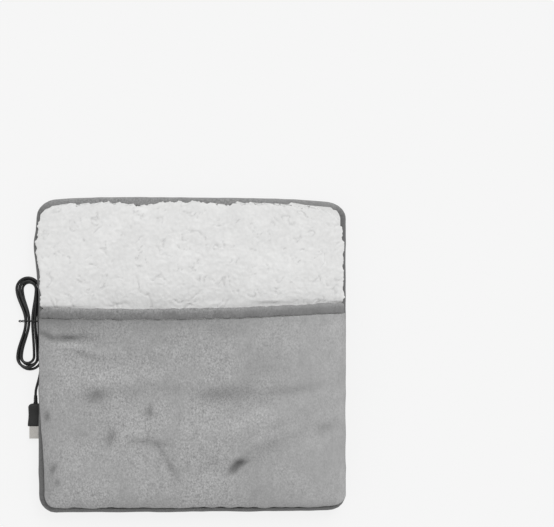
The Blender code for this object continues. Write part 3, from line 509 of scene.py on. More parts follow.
def hank_point(turns, diameter):
    """A point of the wound cord: down the right run, round, up the left run and round."""
    reverse = HANK_LAYER_TURNS + HANK_CLIMB_TURNS
    if turns <= HANK_LAYER_TURNS:
        radius = HANK_INNER_RADIUS + HANK_LOOP_STEP * (HANK_LAYER_TURNS - turns)
    else:
        radius = HANK_INNER_RADIUS + HANK_LOOP_STEP * max(0.0, turns - reverse)
    climbed = blend_step(turns, HANK_LAYER_TURNS, reverse)
    inward = 1 - (radius - HANK_INNER_RADIUS) / (HANK_LAYER_TURNS * HANK_LOOP_STEP)
    middle_x = HANK_CENTRE_X - HANK_UPPER_SLIP * climbed
    bottom_y = HANK_BOTTOM_Y + HANK_BOTTOM_FAN * inward
    part, leg = math.modf((turns % 1.0) * 4)
    if leg == 1:
        x = middle_x + radius * math.cos(math.pi * part)
        y = bottom_y - radius * math.sin(math.pi * part)
    elif leg == 3:
        x = middle_x - radius * math.cos(math.pi * part)
        y = HANK_TOP_Y + radius * math.sin(math.pi * part)
    else:
        side = 1 if leg == 0 else -1
        from_top = part if leg == 0 else 1 - part
        y = HANK_TOP_Y + (bottom_y - HANK_TOP_Y) * from_top
        free_x = middle_x + side * radius
        x = free_x + (waist_x(side, radius) - free_x) * waist_share(y, bottom_y)
    lift = WAIST_LIFT * bell(y - HANK_WAIST_Y, WAIST_LIFT_REACH)
    return Vector((x, y, FLOOR_CLEARANCE + diameter / 2 + HANK_LAYER_STEP * climbed + lift))


def hank_points(diameter, steps_per_turn):
    turns = 2 * HANK_LAYER_TURNS + HANK_CLIMB_TURNS
    steps = round(turns * steps_per_turn)
    return [hank_point(turns * step / steps, diameter) for step in range(steps + 1)]


def cord_route(diameter):
    """The whole cord: from the outlet down beside the rim, round the hank and on to the plug."""
    hank = hank_points(diameter, HANK_STEPS_PER_TURN)
    x, y, z = CORD_START
    lead = [
        (x, y, z),
        (x - 0.0026, y, z - 0.0002),
        (-0.1484, 0.1300, 0.0032),
        (-0.1504, 0.1250, 0.0019),
        (-0.1508, 0.1180, 0.0014),
        (-0.1506, 0.1060, 0.0014),
        (-0.1502, 0.0960, 0.0014),
        (-0.1488, 0.0860, 0.0014),
        (-0.1462, 0.0750, 0.0014),
        (hank[0].x, HANK_TOP_Y + 2 * diameter, hank[0].z),
        tuple(hank[0]),
    ]
    tail = [
        tuple(hank[-1]),
        (hank[-1].x, HANK_BOTTOM_Y - 2 * diameter, hank[-1].z),
        (-0.1470, -0.0150, 0.0045),
        (-0.1480, -0.0215, 0.0044),
        (-0.1499, -0.0285, 0.0039),
        (-0.1514, -0.0340, 0.0036),
        (PLUG_CENTRE_X, PLUG_START_Y + diameter, PLUG_Z),
        (PLUG_CENTRE_X, PLUG_START_Y - PLUG_RELIEF_LENGTH / 2, PLUG_Z),
    ]
    lead_points = smooth_line([Vector(stop) for stop in lead], 2)
    tail_points = smooth_line([Vector(stop) for stop in tail], 2)
    return lead_points + hank[1:-1] + tail_points


def tie_route(diameter):
    """Round the waist, then both ends twisted together and pointing away from the pad."""
    cord = hank_points(diameter, TIE_FIT_STEPS)
    run_places = [point.x for point in cord if abs(point.y - HANK_WAIST_Y) < diameter]
    middle_x = (max(run_places) + min(run_places)) / 2
    half_x = (max(run_places) - min(run_places) + diameter + TIE_DIAMETER) / 2 + TIE_CLEARANCE
    low = FLOOR_CLEARANCE + WAIST_LIFT
    high = low + HANK_LAYER_STEP + diameter
    half_z = (high - low) / 2 + TIE_CLEARANCE + TIE_DIAMETER / 2
    middle_z = (low + high) / 2
    loop = []
    for step in range(TIE_LOOP_POINTS + 1):
        angle = math.pi + math.tau * step / TIE_LOOP_POINTS
        x = half_x * signed_power(math.cos(angle), TIE_SQUARENESS)
        z = half_z * signed_power(math.sin(angle), TIE_SQUARENESS)
        slide = 2 * TIE_TWIST_RADIUS * (step / TIE_LOOP_POINTS - 0.5)
        loop.append(Vector((middle_x + x, HANK_WAIST_Y + slide, middle_z + z)))
    ends = []
    for side in (0, 1):
        strand = []
        for step in range(1, TIE_TWIST_STEPS + 1):
            share = step / TIE_TWIST_STEPS
            angle = math.tau * TIE_TWIST_TURNS * share + math.pi * side
            x = middle_x - half_x - TIE_TWIST_LENGTH * share
            y = HANK_WAIST_Y - TIE_TWIST_RADIUS * math.cos(angle)
            strand.append(Vector((x, y, middle_z + TIE_TWIST_RADIUS * math.sin(angle))))
        ends.append(strand)
    return ends[0][::-1] + loop + ends[1]


def curve_object(name, points, diameter, material):
    curve = bpy.data.curves.new(name, "CURVE")
    curve.dimensions = "3D"
    curve.bevel_depth = diameter / 2
    curve.bevel_resolution = 4
    curve.resolution_u = 3
    curve.use_fill_caps = True
    spline = curve.splines.new("NURBS")
    spline.points.add(len(points) - 1)
    for point, place in zip(spline.points, points):
        point.co = (*place, 1.0)
    spline.order_u = 4
    spline.use_endpoint_u = True
    curve.materials.append(material)
    piece = bpy.data.objects.new(name, curve)
    bpy.context.scene.collection.objects.link(piece)
    return piece


def route_length(points):
    return sum((b - a).length for a, b in zip(points, points[1:]))


class FOOTPAD_OT_cord(bpy.types.Operator):
    """Lay the cord with its hank, tie and plug"""

    bl_idname = "foot_pad.cord"
    bl_label = "Cord"

    def execute(self, context):
        sizes, colours = settings()
        jacket = soft_plastic("cord_jacket", colours.jacket, 0.42, 2500.0, 0.00005, 0.35)
        moulded = soft_plastic("moulded_black", colours.moulded, 0.55, 5000.0, 0.00008)
        route = cord_route(sizes.cord)
        cord = curve_object("cord_run", route, sizes.cord, jacket)
        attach(cord, "pad")
        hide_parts("cord_lead", "cord_hank", "cord_tail")
        tie = curve_object("cord_twist_tie", tie_route(sizes.cord), TIE_DIAMETER, jacket)
        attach(tie, "pad")
        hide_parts("cord_tie")
        grip = plug_grip(moulded)
        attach(grip, "pad")
        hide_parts("plug_body")
        nodes = finish_nodes(plated_metal("nickel", colours.nickel, 0.28), "plug_shell")
        nodes += finish_nodes(soft_plastic("plug_nylon", colours.nylon, *NYLON_LOOK), "plug_tongue")
        nodes += finish_nodes(plated_metal("gilt", colours.gilt, 0.22), *PLUG_CONTACTS)
        route_length(route)
        return {"FINISHED"}


def finish_nodes(material, *names):
    """Gives the frame's own solids their material."""
    nodes = [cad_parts[name] for name in names]
    for node in nodes:
        node.data.materials.clear()
        node.data.materials.append(material)
    return nodes


def rounded_slice(half_width, half_height, radius, y, steps=5):
    """Points of a rounded rectangle across the plug at y."""
    points = []
    for corner, (sign_x, sign_z) in enumerate(CORNER_SIGNS):
        for step in range(steps + 1):
            angle = math.pi / 2 * (corner + step / steps)
            x = sign_x * (half_width - radius) + radius * math.cos(angle)
            z = sign_z * (half_height - radius) + radius * math.sin(angle)
            points.append(Vector((PLUG_CENTRE_X + x, y, PLUG_Z + z)))
    return points


def plug_grip(material):
    """The moulded body with a waist to hold it by, and a ribbed relief for the cord."""
    builder = bmesh.new()
    half_width = PLUG_WIDTH / 2
    half_height = PLUG_THICKNESS / 2
    body_start = PLUG_START_Y - PLUG_RELIEF_LENGTH
    body_end = body_start - PLUG_BODY_LENGTH
    slices = []
    relief = PLUG_RELIEF_DIAMETER / 2
    for rib in range(PLUG_RIBS):
        start = PLUG_START_Y - PLUG_RELIEF_LENGTH * rib / PLUG_RIBS
        pitch = PLUG_RELIEF_LENGTH / PLUG_RIBS
        wide = relief * (0.80 + 0.20 * (rib + 1) / PLUG_RIBS)
        for share, size in ((0.0, 0.84), (0.12, 1.0), (0.62, 1.0), (0.74, 0.84)):
            reach = wide * size
            slices.append(rounded_slice(reach, reach, reach * 0.98, start - pitch * share))
    # Shares of the way along the body with the half width, half height and corner there
    profile = (
        (0.000, 0.45, 0.80, 0.90),
        (0.012, 0.62, 0.90, 0.80),
        (0.060, 0.84, 0.98, 0.70),
        (0.140, 0.95, 1.00, 0.60),
        (0.300, 0.93, 0.93, 0.55),
        (0.480, 0.91, 0.90, 0.55),
        (0.660, 0.93, 0.93, 0.50),
        (0.820, 0.98, 0.99, 0.45),
        (0.900, 1.00, 1.00, 0.40),
        (0.975, 1.00, 1.00, 0.35),
        (1.000, 0.95, 0.88, 0.30),
    )
    for share, wide, tall, round_share in profile:
        y = body_start - PLUG_BODY_LENGTH * share
        half_here = half_height * tall
        slices.append(rounded_slice(half_width * wide, half_here, half_here * round_share, y))
    # The seat round the shell, a little deeper than the end face
    seat_width = SHELL_WIDTH / 2 + SEAT_GAP
    seat_height = SHELL_THICKNESS / 2 + SEAT_GAP
    for inset, valley_shade_and_tone in ((SEAT_BEVEL, 0.0), (0.0, SEAT_GAP), (0.0, SHELL_SEAT_DEPTH + SEAT_GAP)):
        size = (seat_width + inset, seat_height + inset, SEAT_CORNER + inset)
        slices.append(rounded_slice(*size, body_end + valley_shade_and_tone))
    rings = [[builder.verts.new(point) for point in ring] for ring in slices]
    rings_to_mesh(builder, rings, False)
    grip = add_object("plug_grip", builder, material)
    sharpen(grip, 40)
    return grip


# Shapes shared by the layers

LEFT_WAIST = 0.0019
LEFT_BULGE = 0.0030
LEFT_BULGE_Y = 0.103
LEFT_BULGE_REACH = 0.017
TOP_SINK = 0.0004
TOP_SLANT = 0.0013
TOP_BOW = 0.0050
BOTTOM_SLANT = 0.0009
OUTLINE_UNEVEN = 0.0012
FOOT_TOP = 0.0065
SHIFTED_FROM = 0.0120


def edge_share(share):
    """1 in the middle of a layer and 0 at its seams, with a full round shoulder."""
    return math.sqrt(max(0.0, 1 - abs(share) ** CROWN_POWER))


def pad_crown(x, y, sizes):
    return edge_share(x / sizes.sewn_half_width) * edge_share(y / sizes.sewn_half_length)


def pocket_crown(x, y, sizes):
    wave = 1 + WAVE_SHARE * math.sin(math.tau * (y + WAVE_SLANT * x) / WAVE_LENGTH)
    return edge_share(x / sizes.sewn_half_width) * edge_share(min(0.0, y) / sizes.sewn_half_length) * wave


def height(layer, crown):
    edge, rise = layer
    return edge + rise * crown


def mouth_at(x, sizes):
    across = x / sizes.sewn_half_width
    return sizes.mouth + sizes.mouth_slant * across + sizes.mouth_bow * across * across


def width_at(y, half_width, half_length, corner):
    """Half the width of a rounded rectangle at y."""
    over = min(corner, max(0.0, abs(y) - (half_length - corner)))
    return half_width - corner + math.sqrt(corner * corner - over * over)


def roughly(x, y, scale, seed=0.0):
    """Smooth noise from about -1 to 1 over the plane."""
    return noise.noise(Vector((x * scale, y * scale, seed)))


def plan_shift(x, y, sizes):
    """How far soft cloth lies off the pad's straight outline, as in the photograph."""
    across = x / sizes.half_width
    along = y / sizes.half_length
    waist = LEFT_WAIST * (1 - blend_step(y, 0.045, 0.090))
    bulge = LEFT_BULGE * bell(y - LEFT_BULGE_Y, LEFT_BULGE_REACH)
    sink = TOP_SINK + TOP_SLANT * across + TOP_BOW * across**4
    uneven = OUTLINE_UNEVEN * roughly(x, y, 27.0, 11.0)
    shift_x = (waist - bulge) * max(0.0, -across) ** 6 - math.copysign(uneven * abs(across) ** 8, x)
    shift_y = (BOTTOM_SLANT * across + uneven) * max(0.0, -along) ** 8 - sink * max(0.0, along) ** 6
    return Vector((shift_x, shift_y, 0.0))


def settle(piece):
    """Lets the piece's upper cloth lie as the photograph shows, with its foot left in place."""
    sizes = settings()[0]
    for vertex in piece.data.vertices:
        x, y, z = vertex.co
        vertex.co += plan_shift(x, y, sizes) * blend_step(z, FOOT_TOP, SHIFTED_FROM)


def grid_border(columns, rows):
    border = [(i, 0) for i in range(columns)]
    border += [(columns, j) for j in range(rows)]
    border += [(i, rows) for i in range(columns, 0, -1)]
    border += [(0, j) for j in range(rows, 0, -1)]
    return border


def closed_layer(name, columns, rows, top, rims, low, material):
    """A closed sheet: top and low give a point for each grid place, and the rims join their edges."""
    builder = bmesh.new()
    grids = []
    for sheet in (top, low):
        grid = {}
        for j in range(rows + 1):
            for i in range(columns + 1):
                grid[i, j] = builder.verts.new(sheet(i, j))
        for j in range(rows):
            for i in range(columns):
                builder.faces.new((grid[i, j], grid[i + 1, j], grid[i + 1, j + 1], grid[i, j + 1]))
        grids.append(grid)
    border = grid_border(columns, rows)
    loops = [[grids[0][place] for place in border]]
    for rim in rims:
        loops.append([builder.verts.new(rim(i, j)) for i, j in border])
    loops.append([grids[1][place] for place in border])
    for here, there in zip(loops, loops[1:]):
        for step in range(len(border)):
            after = (step + 1) % len(border)
            builder.faces.new((here[step], here[after], there[after], there[step]))
    piece = add_object(name, builder, material)
    sharpen(piece, 70)
    settle(piece)
    return piece


def curl_share(x, y, size, seed=0.0):
    """Height of curled pile, from 0 in a valley to 1 on top of a curl."""
    place = Vector((x, y, seed)) / size
    place += 0.45 * noise.noise_vector(place * 0.8)
    distances = noise.voronoi(place)[0]
    lump = min(1.0, (distances[1] - distances[0]) / 0.5)
    # Short creases open along some of the lines between tufts
    line = noise.noise(place * 1.2 + Vector((7.0, 3.0, 0.0)))
    open_here = blend_step(noise.noise(place * 0.8 + Vector((0.0, 11.0, 5.0))), 0.08, 0.30)
    crease = bell(line, 0.06) * open_here
    small = noise.noise(place * 3.1)
    return min(1.0, max(0.0, 0.66 + 0.15 * (lump - 0.5) + 0.16 * small - 0.50 * crease))


# The plush over the pad

PLUSH_COLUMNS = 276
PLUSH_HIDDEN_ROWS = 48
PLUSH_SEEN_ROWS = 118
PLUSH_SEEN_FROM = 0.024
PLUSH_BOTTOM = 0.1469
PLUSH_TOP_END = 0.1464
PLUSH_OVERHANG = 0.1474
PLUSH_CORNERS = (0.0215, 0.0330)
FLAP_WIDTH = 0.0050
FLAP_LOW = 0.0217
FILLING_STEPS = 60
FILLING_LOW = 0.0126
FILLING_TOP = (0.0136, 0.0040)
CURL_SIZE = 0.0088
CURL_SEED = 7
PLUSH_UNEVEN = 0.0026
BORDER_TUFT = 0.0030
BORDER_WANDER = 0.0022
# Where the plush's top border draws back or comes forward: middle, half length, rise
BORDER_BOWS = ((-0.0520, 0.0130, -0.0030), (0.0060, 0.0420, 0.0012))
# The heights above the mouth over which the plush comes out from under the hem's end
OPEN_RANGE = (0.0087, 0.0120)
PLUSH_OPEN_EDGE = 0.0228
PLUSH_OPEN_RISE = 0.0038
# The most of the gap below the pocket that the curls fill
PILE_SHARE_OF_GAP = 0.3
# The plush's edge from its top down: drop where covered, height where open, on the inner outline or not
PLUSH_RIMS = ((0.0006, 0.0221, False), (0.0012, 0.0219, True), (0.0020, 0.0218, True))


def covered_half_width(y, sizes):
    """Half the plush's width at y where the pocket covers it."""
    return width_at(y, sizes.sewn_half_width - SEAM_CLEARANCE, PLUSH_BOTTOM, sizes.sewn_corner)


def open_half_width(y, x):
    """Half the plush's width at y where it lies open over the rim."""
    return width_at(y, PLUSH_OVERHANG, PLUSH_TOP_END, PLUSH_CORNERS[x > 0])


def plush_layer(sizes, material):
    def row_y(j):
        if j <= PLUSH_HIDDEN_ROWS:
            return -PLUSH_BOTTOM + (PLUSH_SEEN_FROM + PLUSH_BOTTOM) * j / PLUSH_HIDDEN_ROWS
        return PLUSH_SEEN_FROM + (PLUSH_TOP_END - PLUSH_SEEN_FROM) * (j - PLUSH_HIDDEN_ROWS) / PLUSH_SEEN_ROWS

    def sides(i, j):
        """Place across, y, and how far this place lies open above the hem."""
        across = 2 * i / PLUSH_COLUMNS - 1
        y = row_y(j)
        above = y - mouth_at(math.copysign(sizes.sewn_half_width, across), sizes)
        return across, y, blend_step(above, *OPEN_RANGE)

    def inner_xy(i, j):
        across, y, opened = sides(i, j)
        return across * covered_half_width(y, sizes), min(y, outer_xy(i, j)[1] - 0.0006 * opened)

    def outer_xy(i, j):
        across, y, opened = sides(i, j)
        inner = across * covered_half_width(y, sizes)
        x = inner + (across * open_half_width(y, across) - inner) * opened
        wander = BORDER_WANDER * roughly(x, 0.3 * y, 21.0, 7.0)
        wander += sum(rise * bell(x - middle, reach) for middle, reach, rise in BORDER_BOWS)
        side_tufts = roughly(0.3 * x, y, 150.0, 3.0) + 0.65 * roughly(0.0, y, 460.0, 3.0)
        top_tufts = roughly(x, 0.3 * y, 150.0, 3.0) + 0.65 * roughly(x, 0.0, 460.0, 3.0)
        side_shift = 0.7 * BORDER_TUFT * side_tufts * across**15 * opened
        top_shift = (wander + BORDER_TUFT * top_tufts) * max(0.0, y / PLUSH_TOP_END) ** 30
        return x + side_shift, y + top_shift

    def top(i, j):
        across, y, opened = sides(i, j)
        x, y = outer_xy(i, j)
        covered = height(PLUSH_TOP, pad_crown(x, y, sizes))
        rise = edge_share(across) * edge_share(min(1.0, y / PLUSH_TOP_END))
        free = PLUSH_OPEN_EDGE + (PLUSH_OPEN_RISE + PLUSH_UNEVEN * roughly(x, y, 19.0, 15.0)) * rise
        clear = height(POCKET_LOW, pocket_crown(x, y, sizes)) - covered
        past_mouth = blend_step(y - mouth_at(x, sizes), -0.010, 0.010)
        pile = min(sizes.pile, PILE_SHARE_OF_GAP * clear) * (1 - past_mouth) + sizes.pile * past_mouth
        curl = curl_share(x, y, CURL_SIZE)
        shares[i, j] = curl
        z = covered + (free - covered) * opened + pile * (curl - 0.5) * (0.45 + 0.55 * rise)
        return Vector((x, y, z))

    def rim(drop_covered, open_height, inner):
        def place(i, j):
            opened = sides(i, j)[2]
            x, y = inner_xy(i, j) if inner else outer_xy(i, j)
            return Vector((x, y, (PLUSH_TOP[0] - drop_covered) * (1 - opened) + open_height * opened))

        return place

    def low(i, j):
        x, y = inner_xy(i, j)
        covered = height(PLUSH_LOW, pad_crown(x, y, sizes))
        # Where the plush lies open its border is a flap over the rim
        beside = abs(x) - (open_half_width(y, x) - 2 * FLAP_WIDTH)
        above = y - (PLUSH_TOP_END - 2 * FLAP_WIDTH)
        flap = blend_step(max(beside, above), 0.0, FLAP_WIDTH) * sides(i, j)[2]
        return Vector((x, y, covered + (FLAP_LOW - covered) * flap))

    shares = {}
    rims = [rim(*stop) for stop in PLUSH_RIMS]
    rows = PLUSH_HIDDEN_ROWS + PLUSH_SEEN_ROWS
    piece = closed_layer("plush_lining", PLUSH_COLUMNS, rows, top, rims, low, material)
    store_share(piece, "curl_share", shares.values())
    return piece


def pad_filling(sizes, material):
    """The loose fibre under the plush."""

    def xy(i, j):
        y = (2 * j / FILLING_STEPS - 1) * PLUSH_BOTTOM
        return (2 * i / FILLING_STEPS - 1) * covered_half_width(y, sizes), y

    def top(i, j):
        x, y = xy(i, j)
        return Vector((x, y, height(FILLING_TOP, pad_crown(x, y, sizes))))

    def low(i, j):
        return Vector((*xy(i, j), FILLING_LOW))

    return closed_layer("pad_filling", FILLING_STEPS, FILLING_STEPS, top, (), low, material)


class FOOTPAD_OT_plush(bpy.types.Operator):
    """Lay the loose fibre and the curled plush over the heater"""

    bl_idname = "foot_pad.plush"
    bl_label = "Plush"

    def execute(self, context):
        sizes, colours = settings()
        filling = pad_filling(sizes, fibre_sheet("pad_fibre", colours.wadding, *WADDING_LOOK))
        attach(filling, "pad")
        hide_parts("upper_wadding")
        piece = plush_layer(sizes, curled_plush("white_sherpa", colours.plush))
        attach(piece, "pad")
        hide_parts("base_lining")
        return {"FINISHED"}


# The rim

RIM_STEP = 0.0030
RIM_PARTS = 4
RIM_UNEVEN = 0.0003
RIM_TUCK = 0.0045
RIM_TUCK_DROP = 0.0003
# Painted shade on the band's sides, bottom and inside
RIM_SIDE_SHADE = 0.65
RIM_BOTTOM_SHADE = 0.52
RIM_INSIDE_SHADE = 0.3
PLEAT_RISE = 0.0005
PLEATS_PER_CORNER = 5


def rim_stops(sizes):
    """Places round the pad's outline, each with its outward direction and its share of a corner's turn."""
    radius = sizes.corner
    stops = []
    turn_steps = round(math.pi / 2 * radius / (RIM_STEP / 2))
    for corner, (sign_x, sign_y) in enumerate(CORNER_SIGNS):
        centre = Vector((sign_x * (sizes.half_width - radius), sign_y * (sizes.half_length - radius), 0))
        for step in range(turn_steps + 1):
            angle = math.pi / 2 * (corner + step / turn_steps)
            out = Vector((math.cos(angle), math.sin(angle), 0))
            stops.append((centre + radius * out, out, step / turn_steps))
        along = Vector((-math.sin(angle), math.cos(angle), 0))
        run = 2 * ((sizes.half_width, sizes.half_length)[corner % 2] - radius)
        run_steps = round(run / RIM_STEP)
        for step in range(1, run_steps):
            stops.append((centre + radius * out + along * run * step / run_steps, out, 0.0))
    return stops


def rim_section(sizes):
    """The rim's cloth in section as insets and heights, outside first and then back along its inside."""
    corners = zip(RIM_INSET_SHARES, RIM_HEIGHT_SHARES)
    stops = [Vector((inset * RIM_REACH_UNDER, rise * sizes.rim_height)) for inset, rise in corners]
    outside = smooth_line(stops, RIM_PARTS)
    inside = []
    for index, point in enumerate(outside):
        along = outside[min(index + 1, len(outside) - 1)] - outside[max(index - 1, 0)]
        along.normalize()
        inside.append(point + RIM_CLOTH * Vector((along.y, -along.x)))
    return outside, inside


def edge_band(sizes, material):
    builder = bmesh.new()
    outside, inside = rim_section(sizes)
    shares = []
    rings = []
    for place, out, turn in rim_stops(sizes):
        ring = []
        pleat = 0.5 - 0.5 * math.cos(math.tau * PLEATS_PER_CORNER * turn)
        # The band's inner edge runs on under the open plush, and under the front's drawn-in lower left
        above =place.y - mouth_at(math.copysign(sizes.sewn_half_width, place.x), sizes)
        drawn_in = blend_step(-above, 0.06, 0.10) * blend_step(-place.x, 0.10, 0.14)
        tuck = RIM_TUCK * max(blend_step(above, 0.012, 0.018), 0.5 * drawn_in)
        for index, point in enumerate(outside + inside[::-1]):
            inset, rise = point
            high = blend_step(rise, 0.55 * sizes.rim_height, sizes.rim_height)
            uneven = noise.noise(place * 90 + Vector((0, 0, rise * 120)))
            ruffle = RIM_UNEVEN * uneven * blend_step(rise, 0.002, 0.006)
            fold = PLEAT_RISE * pleat * high
            hidden = blend_step(inset, 0.0020, 0.0039) * blend_step(rise, 0.0185, 0.0200)
            # Corners are gathered, and the cloth between them is only a little uneven
            position = place - out * (inset + fold - ruffle + tuck * hidden)
            position.z = max(0.0, rise + ruffle * high - fold - RIM_TUCK_DROP * hidden * tuck / RIM_TUCK)
            ring.append(builder.verts.new(position))
            # Painted shade: the band is darker at the sides and the bottom than at the top, where the light
            # falls, and darker on its inside
            painted_shade = RIM_SIDE_SHADE * out.x * out.x + RIM_BOTTOM_SHADE * min(0.0, out.y) ** 2
            shares.append(painted_shade if index < len(outside) else RIM_INSIDE_SHADE)
        rings.append(ring)
    rings_to_mesh(builder, rings, True)
    band = add_object("rim_band", builder, material)
    store_share(band, "painted_shade_share", shares)
    settle(band)
    return band


class FOOTPAD_OT_rim(bpy.types.Operator):
    """Sew the velvet band round the pad's edge"""

    bl_idname = "foot_pad.rim"
    bl_label = "Rim"

    def execute(self, context):
        sizes, colours = settings()
        band = edge_band(sizes, velvet("band_velvet", colours.band))
        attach(band, "pad")
        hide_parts("edge_band")
        return {"FINISHED"}


# The gripping cloth below

GRIP_HALF_WIDTH = 0.1404
GRIP_HALF_LENGTH = 0.1429
GRIP_CORNER = 0.0084
GRIP_STEPS = 70
GRIP_LOW = 0.00035
GRIP_TOP = 0.0012
DOT_PITCH = 0.0060
DOT_RADIUS = 0.0009
DOT_SIDES = 8
DOT_MARGIN = 0.0050
GRIP_SLACK = 0.0003
# A dot's levels from inside the cloth down to the floor: height and share of its radius
DOT_LEVELS = ((GRIP_LOW + 0.0004, 1.0), (GRIP_LOW, 1.0), (0.00012, 0.86), (0.0, 0.45))


def grip_sheet(material):
    def place(z, slack):
        def at(i, j):
            across = 2 * i / GRIP_STEPS - 1
            y = GRIP_HALF_LENGTH * (2 * j / GRIP_STEPS - 1)
            x = across * width_at(y, GRIP_HALF_WIDTH, GRIP_HALF_LENGTH, GRIP_CORNER)
            rise = 0.5 + 0.5 * roughly(x, y, 38.0, 11.0)
            return Vector((x, y, z + slack * rise * (1 - across**8)))

        return at

    top = place(GRIP_TOP, 0.0)
    low = place(GRIP_LOW, GRIP_SLACK)
    return closed_layer("grip_cloth_sheet", GRIP_STEPS, GRIP_STEPS, top, (), low, material)


def grip_dots(material):
    """Low rubber domes in staggered rows, flat where they touch the floor."""
    builder = bmesh.new()
    rows = int(2 * (GRIP_HALF_LENGTH - DOT_MARGIN) / DOT_PITCH)
    columns = int(2 * (GRIP_HALF_WIDTH - DOT_MARGIN) / DOT_PITCH)
    for row in range(rows + 1):
        for column in range(columns + row % 2):
            x = DOT_PITCH * (column - (columns - 1 + row % 2) / 2)
            y = DOT_PITCH * (row - rows / 2)
            rings = []
            for z, share in DOT_LEVELS:
                reach = DOT_RADIUS * share
                ring = [(x + reach * right, y + reach * up, z) for right, up in circle(DOT_SIDES)]
                rings.append([builder.verts.new(place) for place in ring])
            rings_to_mesh(builder, rings, False)
    return add_object("grip_dots", builder, material)


class FOOTPAD_OT_base(bpy.types.Operator):
    """Lay the gripping cloth and its rubber dots under the pad"""

    bl_idname = "foot_pad.base"
    bl_label = "Gripping cloth"

    def execute(self, context):
        colours = settings()[1]
        sheet = grip_sheet(woven_sheet("grip_cloth", colours.grip, 700.0, 0.35, 0.8))
        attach(sheet, "pad")
        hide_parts("anti_slip_base")
        dots = grip_dots(soft_plastic("grip_rubber", colours.grip, 0.35, 1800.0, 0.00003, 0.2))
        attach(dots, "pad")
        return {"FINISHED"}


# The pocket, in a left and a right half

SIDES = ((-1, "left"), (1, "right"))
FRONT_COLUMNS = 100
FRONT_ROWS = 124
INNER_COLUMNS = 60
INNER_ROWS = 70
MOUTH_ROLL = 0.0012
MOUTH_ROLL_REACH = 0.0022
FRONT_SPREAD_RIGHT = 0.0046
FRONT_SPREAD_LEFT_TOP = 0.0036
FRONT_SPREAD_LEFT_BOTTOM = -0.0020
FRONT_SPREAD_DOWN = 0.0001
SPREAD_POWER = 8
FRONT_ROLL_DROP = 0.0030
FRONT_ROLL_IN = 0.0018
LINING_PULL = 0.0056
# Painted shade in the front's folds, and the hem's painted shadow on the cloth beside it
FOLD_SHADE_PER_DEPTH = 125.0
HEM_SHADOW = 0.56
HEM_SHADOW_REACH = 0.0084
HEM_SHADOW_DARKER_LEFT = 0.4
HEM_SHADOW_LIGHTER_RIGHT = 0.75
PAINTED_SHADE_MOST = 0.85
SEAM_UNEVEN = 0.0014
CLOTH_UNEVEN = 0.0010
# The front's edge from its top down: how far out it rolls, and its drop
FRONT_RIMS = ((0.0005, 0.0006), (0.0006, 0.0014), (0.0002, 0.0021), (-0.0010, 0.0024))


def fold_rise(x, y):
    """Height of the folds at a place in the pocket's front, below 0 in a dimple."""
    total = 0.0
    for centre_x, centre_y, angle, reach_long, reach_short, rise in FOLDS:
        turn = math.radians(angle)
        along = (x - centre_x) * math.cos(turn) + (y - centre_y) * math.sin(turn)
        off = (y - centre_y) * math.cos(turn) - (x - centre_x) * math.sin(turn)
        total += rise * bell(along, reach_long) * bell(off, reach_short)
    return total


def cloth_shift(x, y, sizes):
    """How far the pocket's cloth stands above or below its even crown."""
    shift = CLOTH_UNEVEN * (roughly(x, y, 22.0, 5.0) + 0.5 * roughly(x, y * 1.6, 48.0, 9.0))
    return (shift + fold_rise(x, y)) * min(1.0, 1.6 * pocket_crown(x, y, sizes))


# Folds and dimples in the pocket's front: middle, angle, half length, half width, rise
FOLDS = (
    (-0.1180, 0.0155, 2, 0.0190, 0.0028, -0.0038),
    (-0.1400, 0.0195, -28, 0.0100, 0.0026, -0.0040),
    (-0.1130, 0.0070, -12, 0.0260, 0.0050, 0.0022),
    (-0.1050, 0.0010, -16, 0.0220, 0.0040, -0.0018),
    (0.0300, -0.0390, 6, 0.0260, 0.0072, -0.0034),
    (-0.0915, -0.0405, 10, 0.0110, 0.0070, -0.0038),
    (0.0960, -0.0350, 7, 0.0360, 0.0055, -0.0018),
    (-0.0300, -0.0345, 2, 0.0420, 0.0070, -0.0012),
    (-0.0600, -0.0200, 3, 0.0520, 0.0080, 0.0014),
    (0.0790, -0.0600, 20, 0.0560, 0.0090, 0.0030),
    (0.0800, -0.0860, 20, 0.0450, 0.0080, -0.0016),
    (0.1287, -0.0710, 12, 0.0100, 0.0050, -0.0018),
    (-0.0397, -0.0557, 84, 0.0075, 0.0032, -0.0034),
    (-0.0770, -0.0800, 68, 0.0095, 0.0042, -0.0032),
    (-0.0400, -0.0850, -8, 0.0190, 0.0046, -0.0024),
    (-0.0200, -0.1080, -60, 0.0200, 0.0038, -0.0024),
    (0.0425, -0.1088, 46, 0.0080, 0.0034, -0.0056),
    (0.0486, -0.1034, 8, 0.0062, 0.0027, -0.0034),
    (0.0375, -0.1010, 36, 0.0120, 0.0055, 0.0018),
    (-0.1385, -0.0605, 70, 0.0048, 0.0029, -0.0044),
    (-0.1345, -0.1105, 50, 0.0060, 0.0030, -0.0042),
    (-0.1310, -0.1240, 60, 0.0060, 0.0040, -0.0028),
    (-0.1400, -0.1200, 88, 0.0200, 0.0040, -0.0014),
    (-0.1150, 0.0120, -8, 0.0300, 0.0120, -0.0012),
    (-0.0700, -0.0350, 0, 0.0480, 0.0260, -0.0010),
    (0.0320, 0.0220, 0, 0.0220, 0.0070, -0.0010),
    (0.0450, -0.0500, 4, 0.0480, 0.0100, -0.0011),
    (0.0800, -0.0020, 75, 0.0280, 0.0120, -0.0008),
    (0.0570, -0.0190, 60, 0.0180, 0.0100, -0.0009),
    (0.0560, -0.1010, 14, 0.0300, 0.0090, -0.0010),
    (0.0230, -0.1060, 10, 0.0180, 0.0080, -0.0012),
    (-0.0780, -0.0120, 0, 0.0350, 0.0120, -0.0008),
    (-0.0380, -0.0150, 0, 0.0180, 0.0100, -0.0009),
)


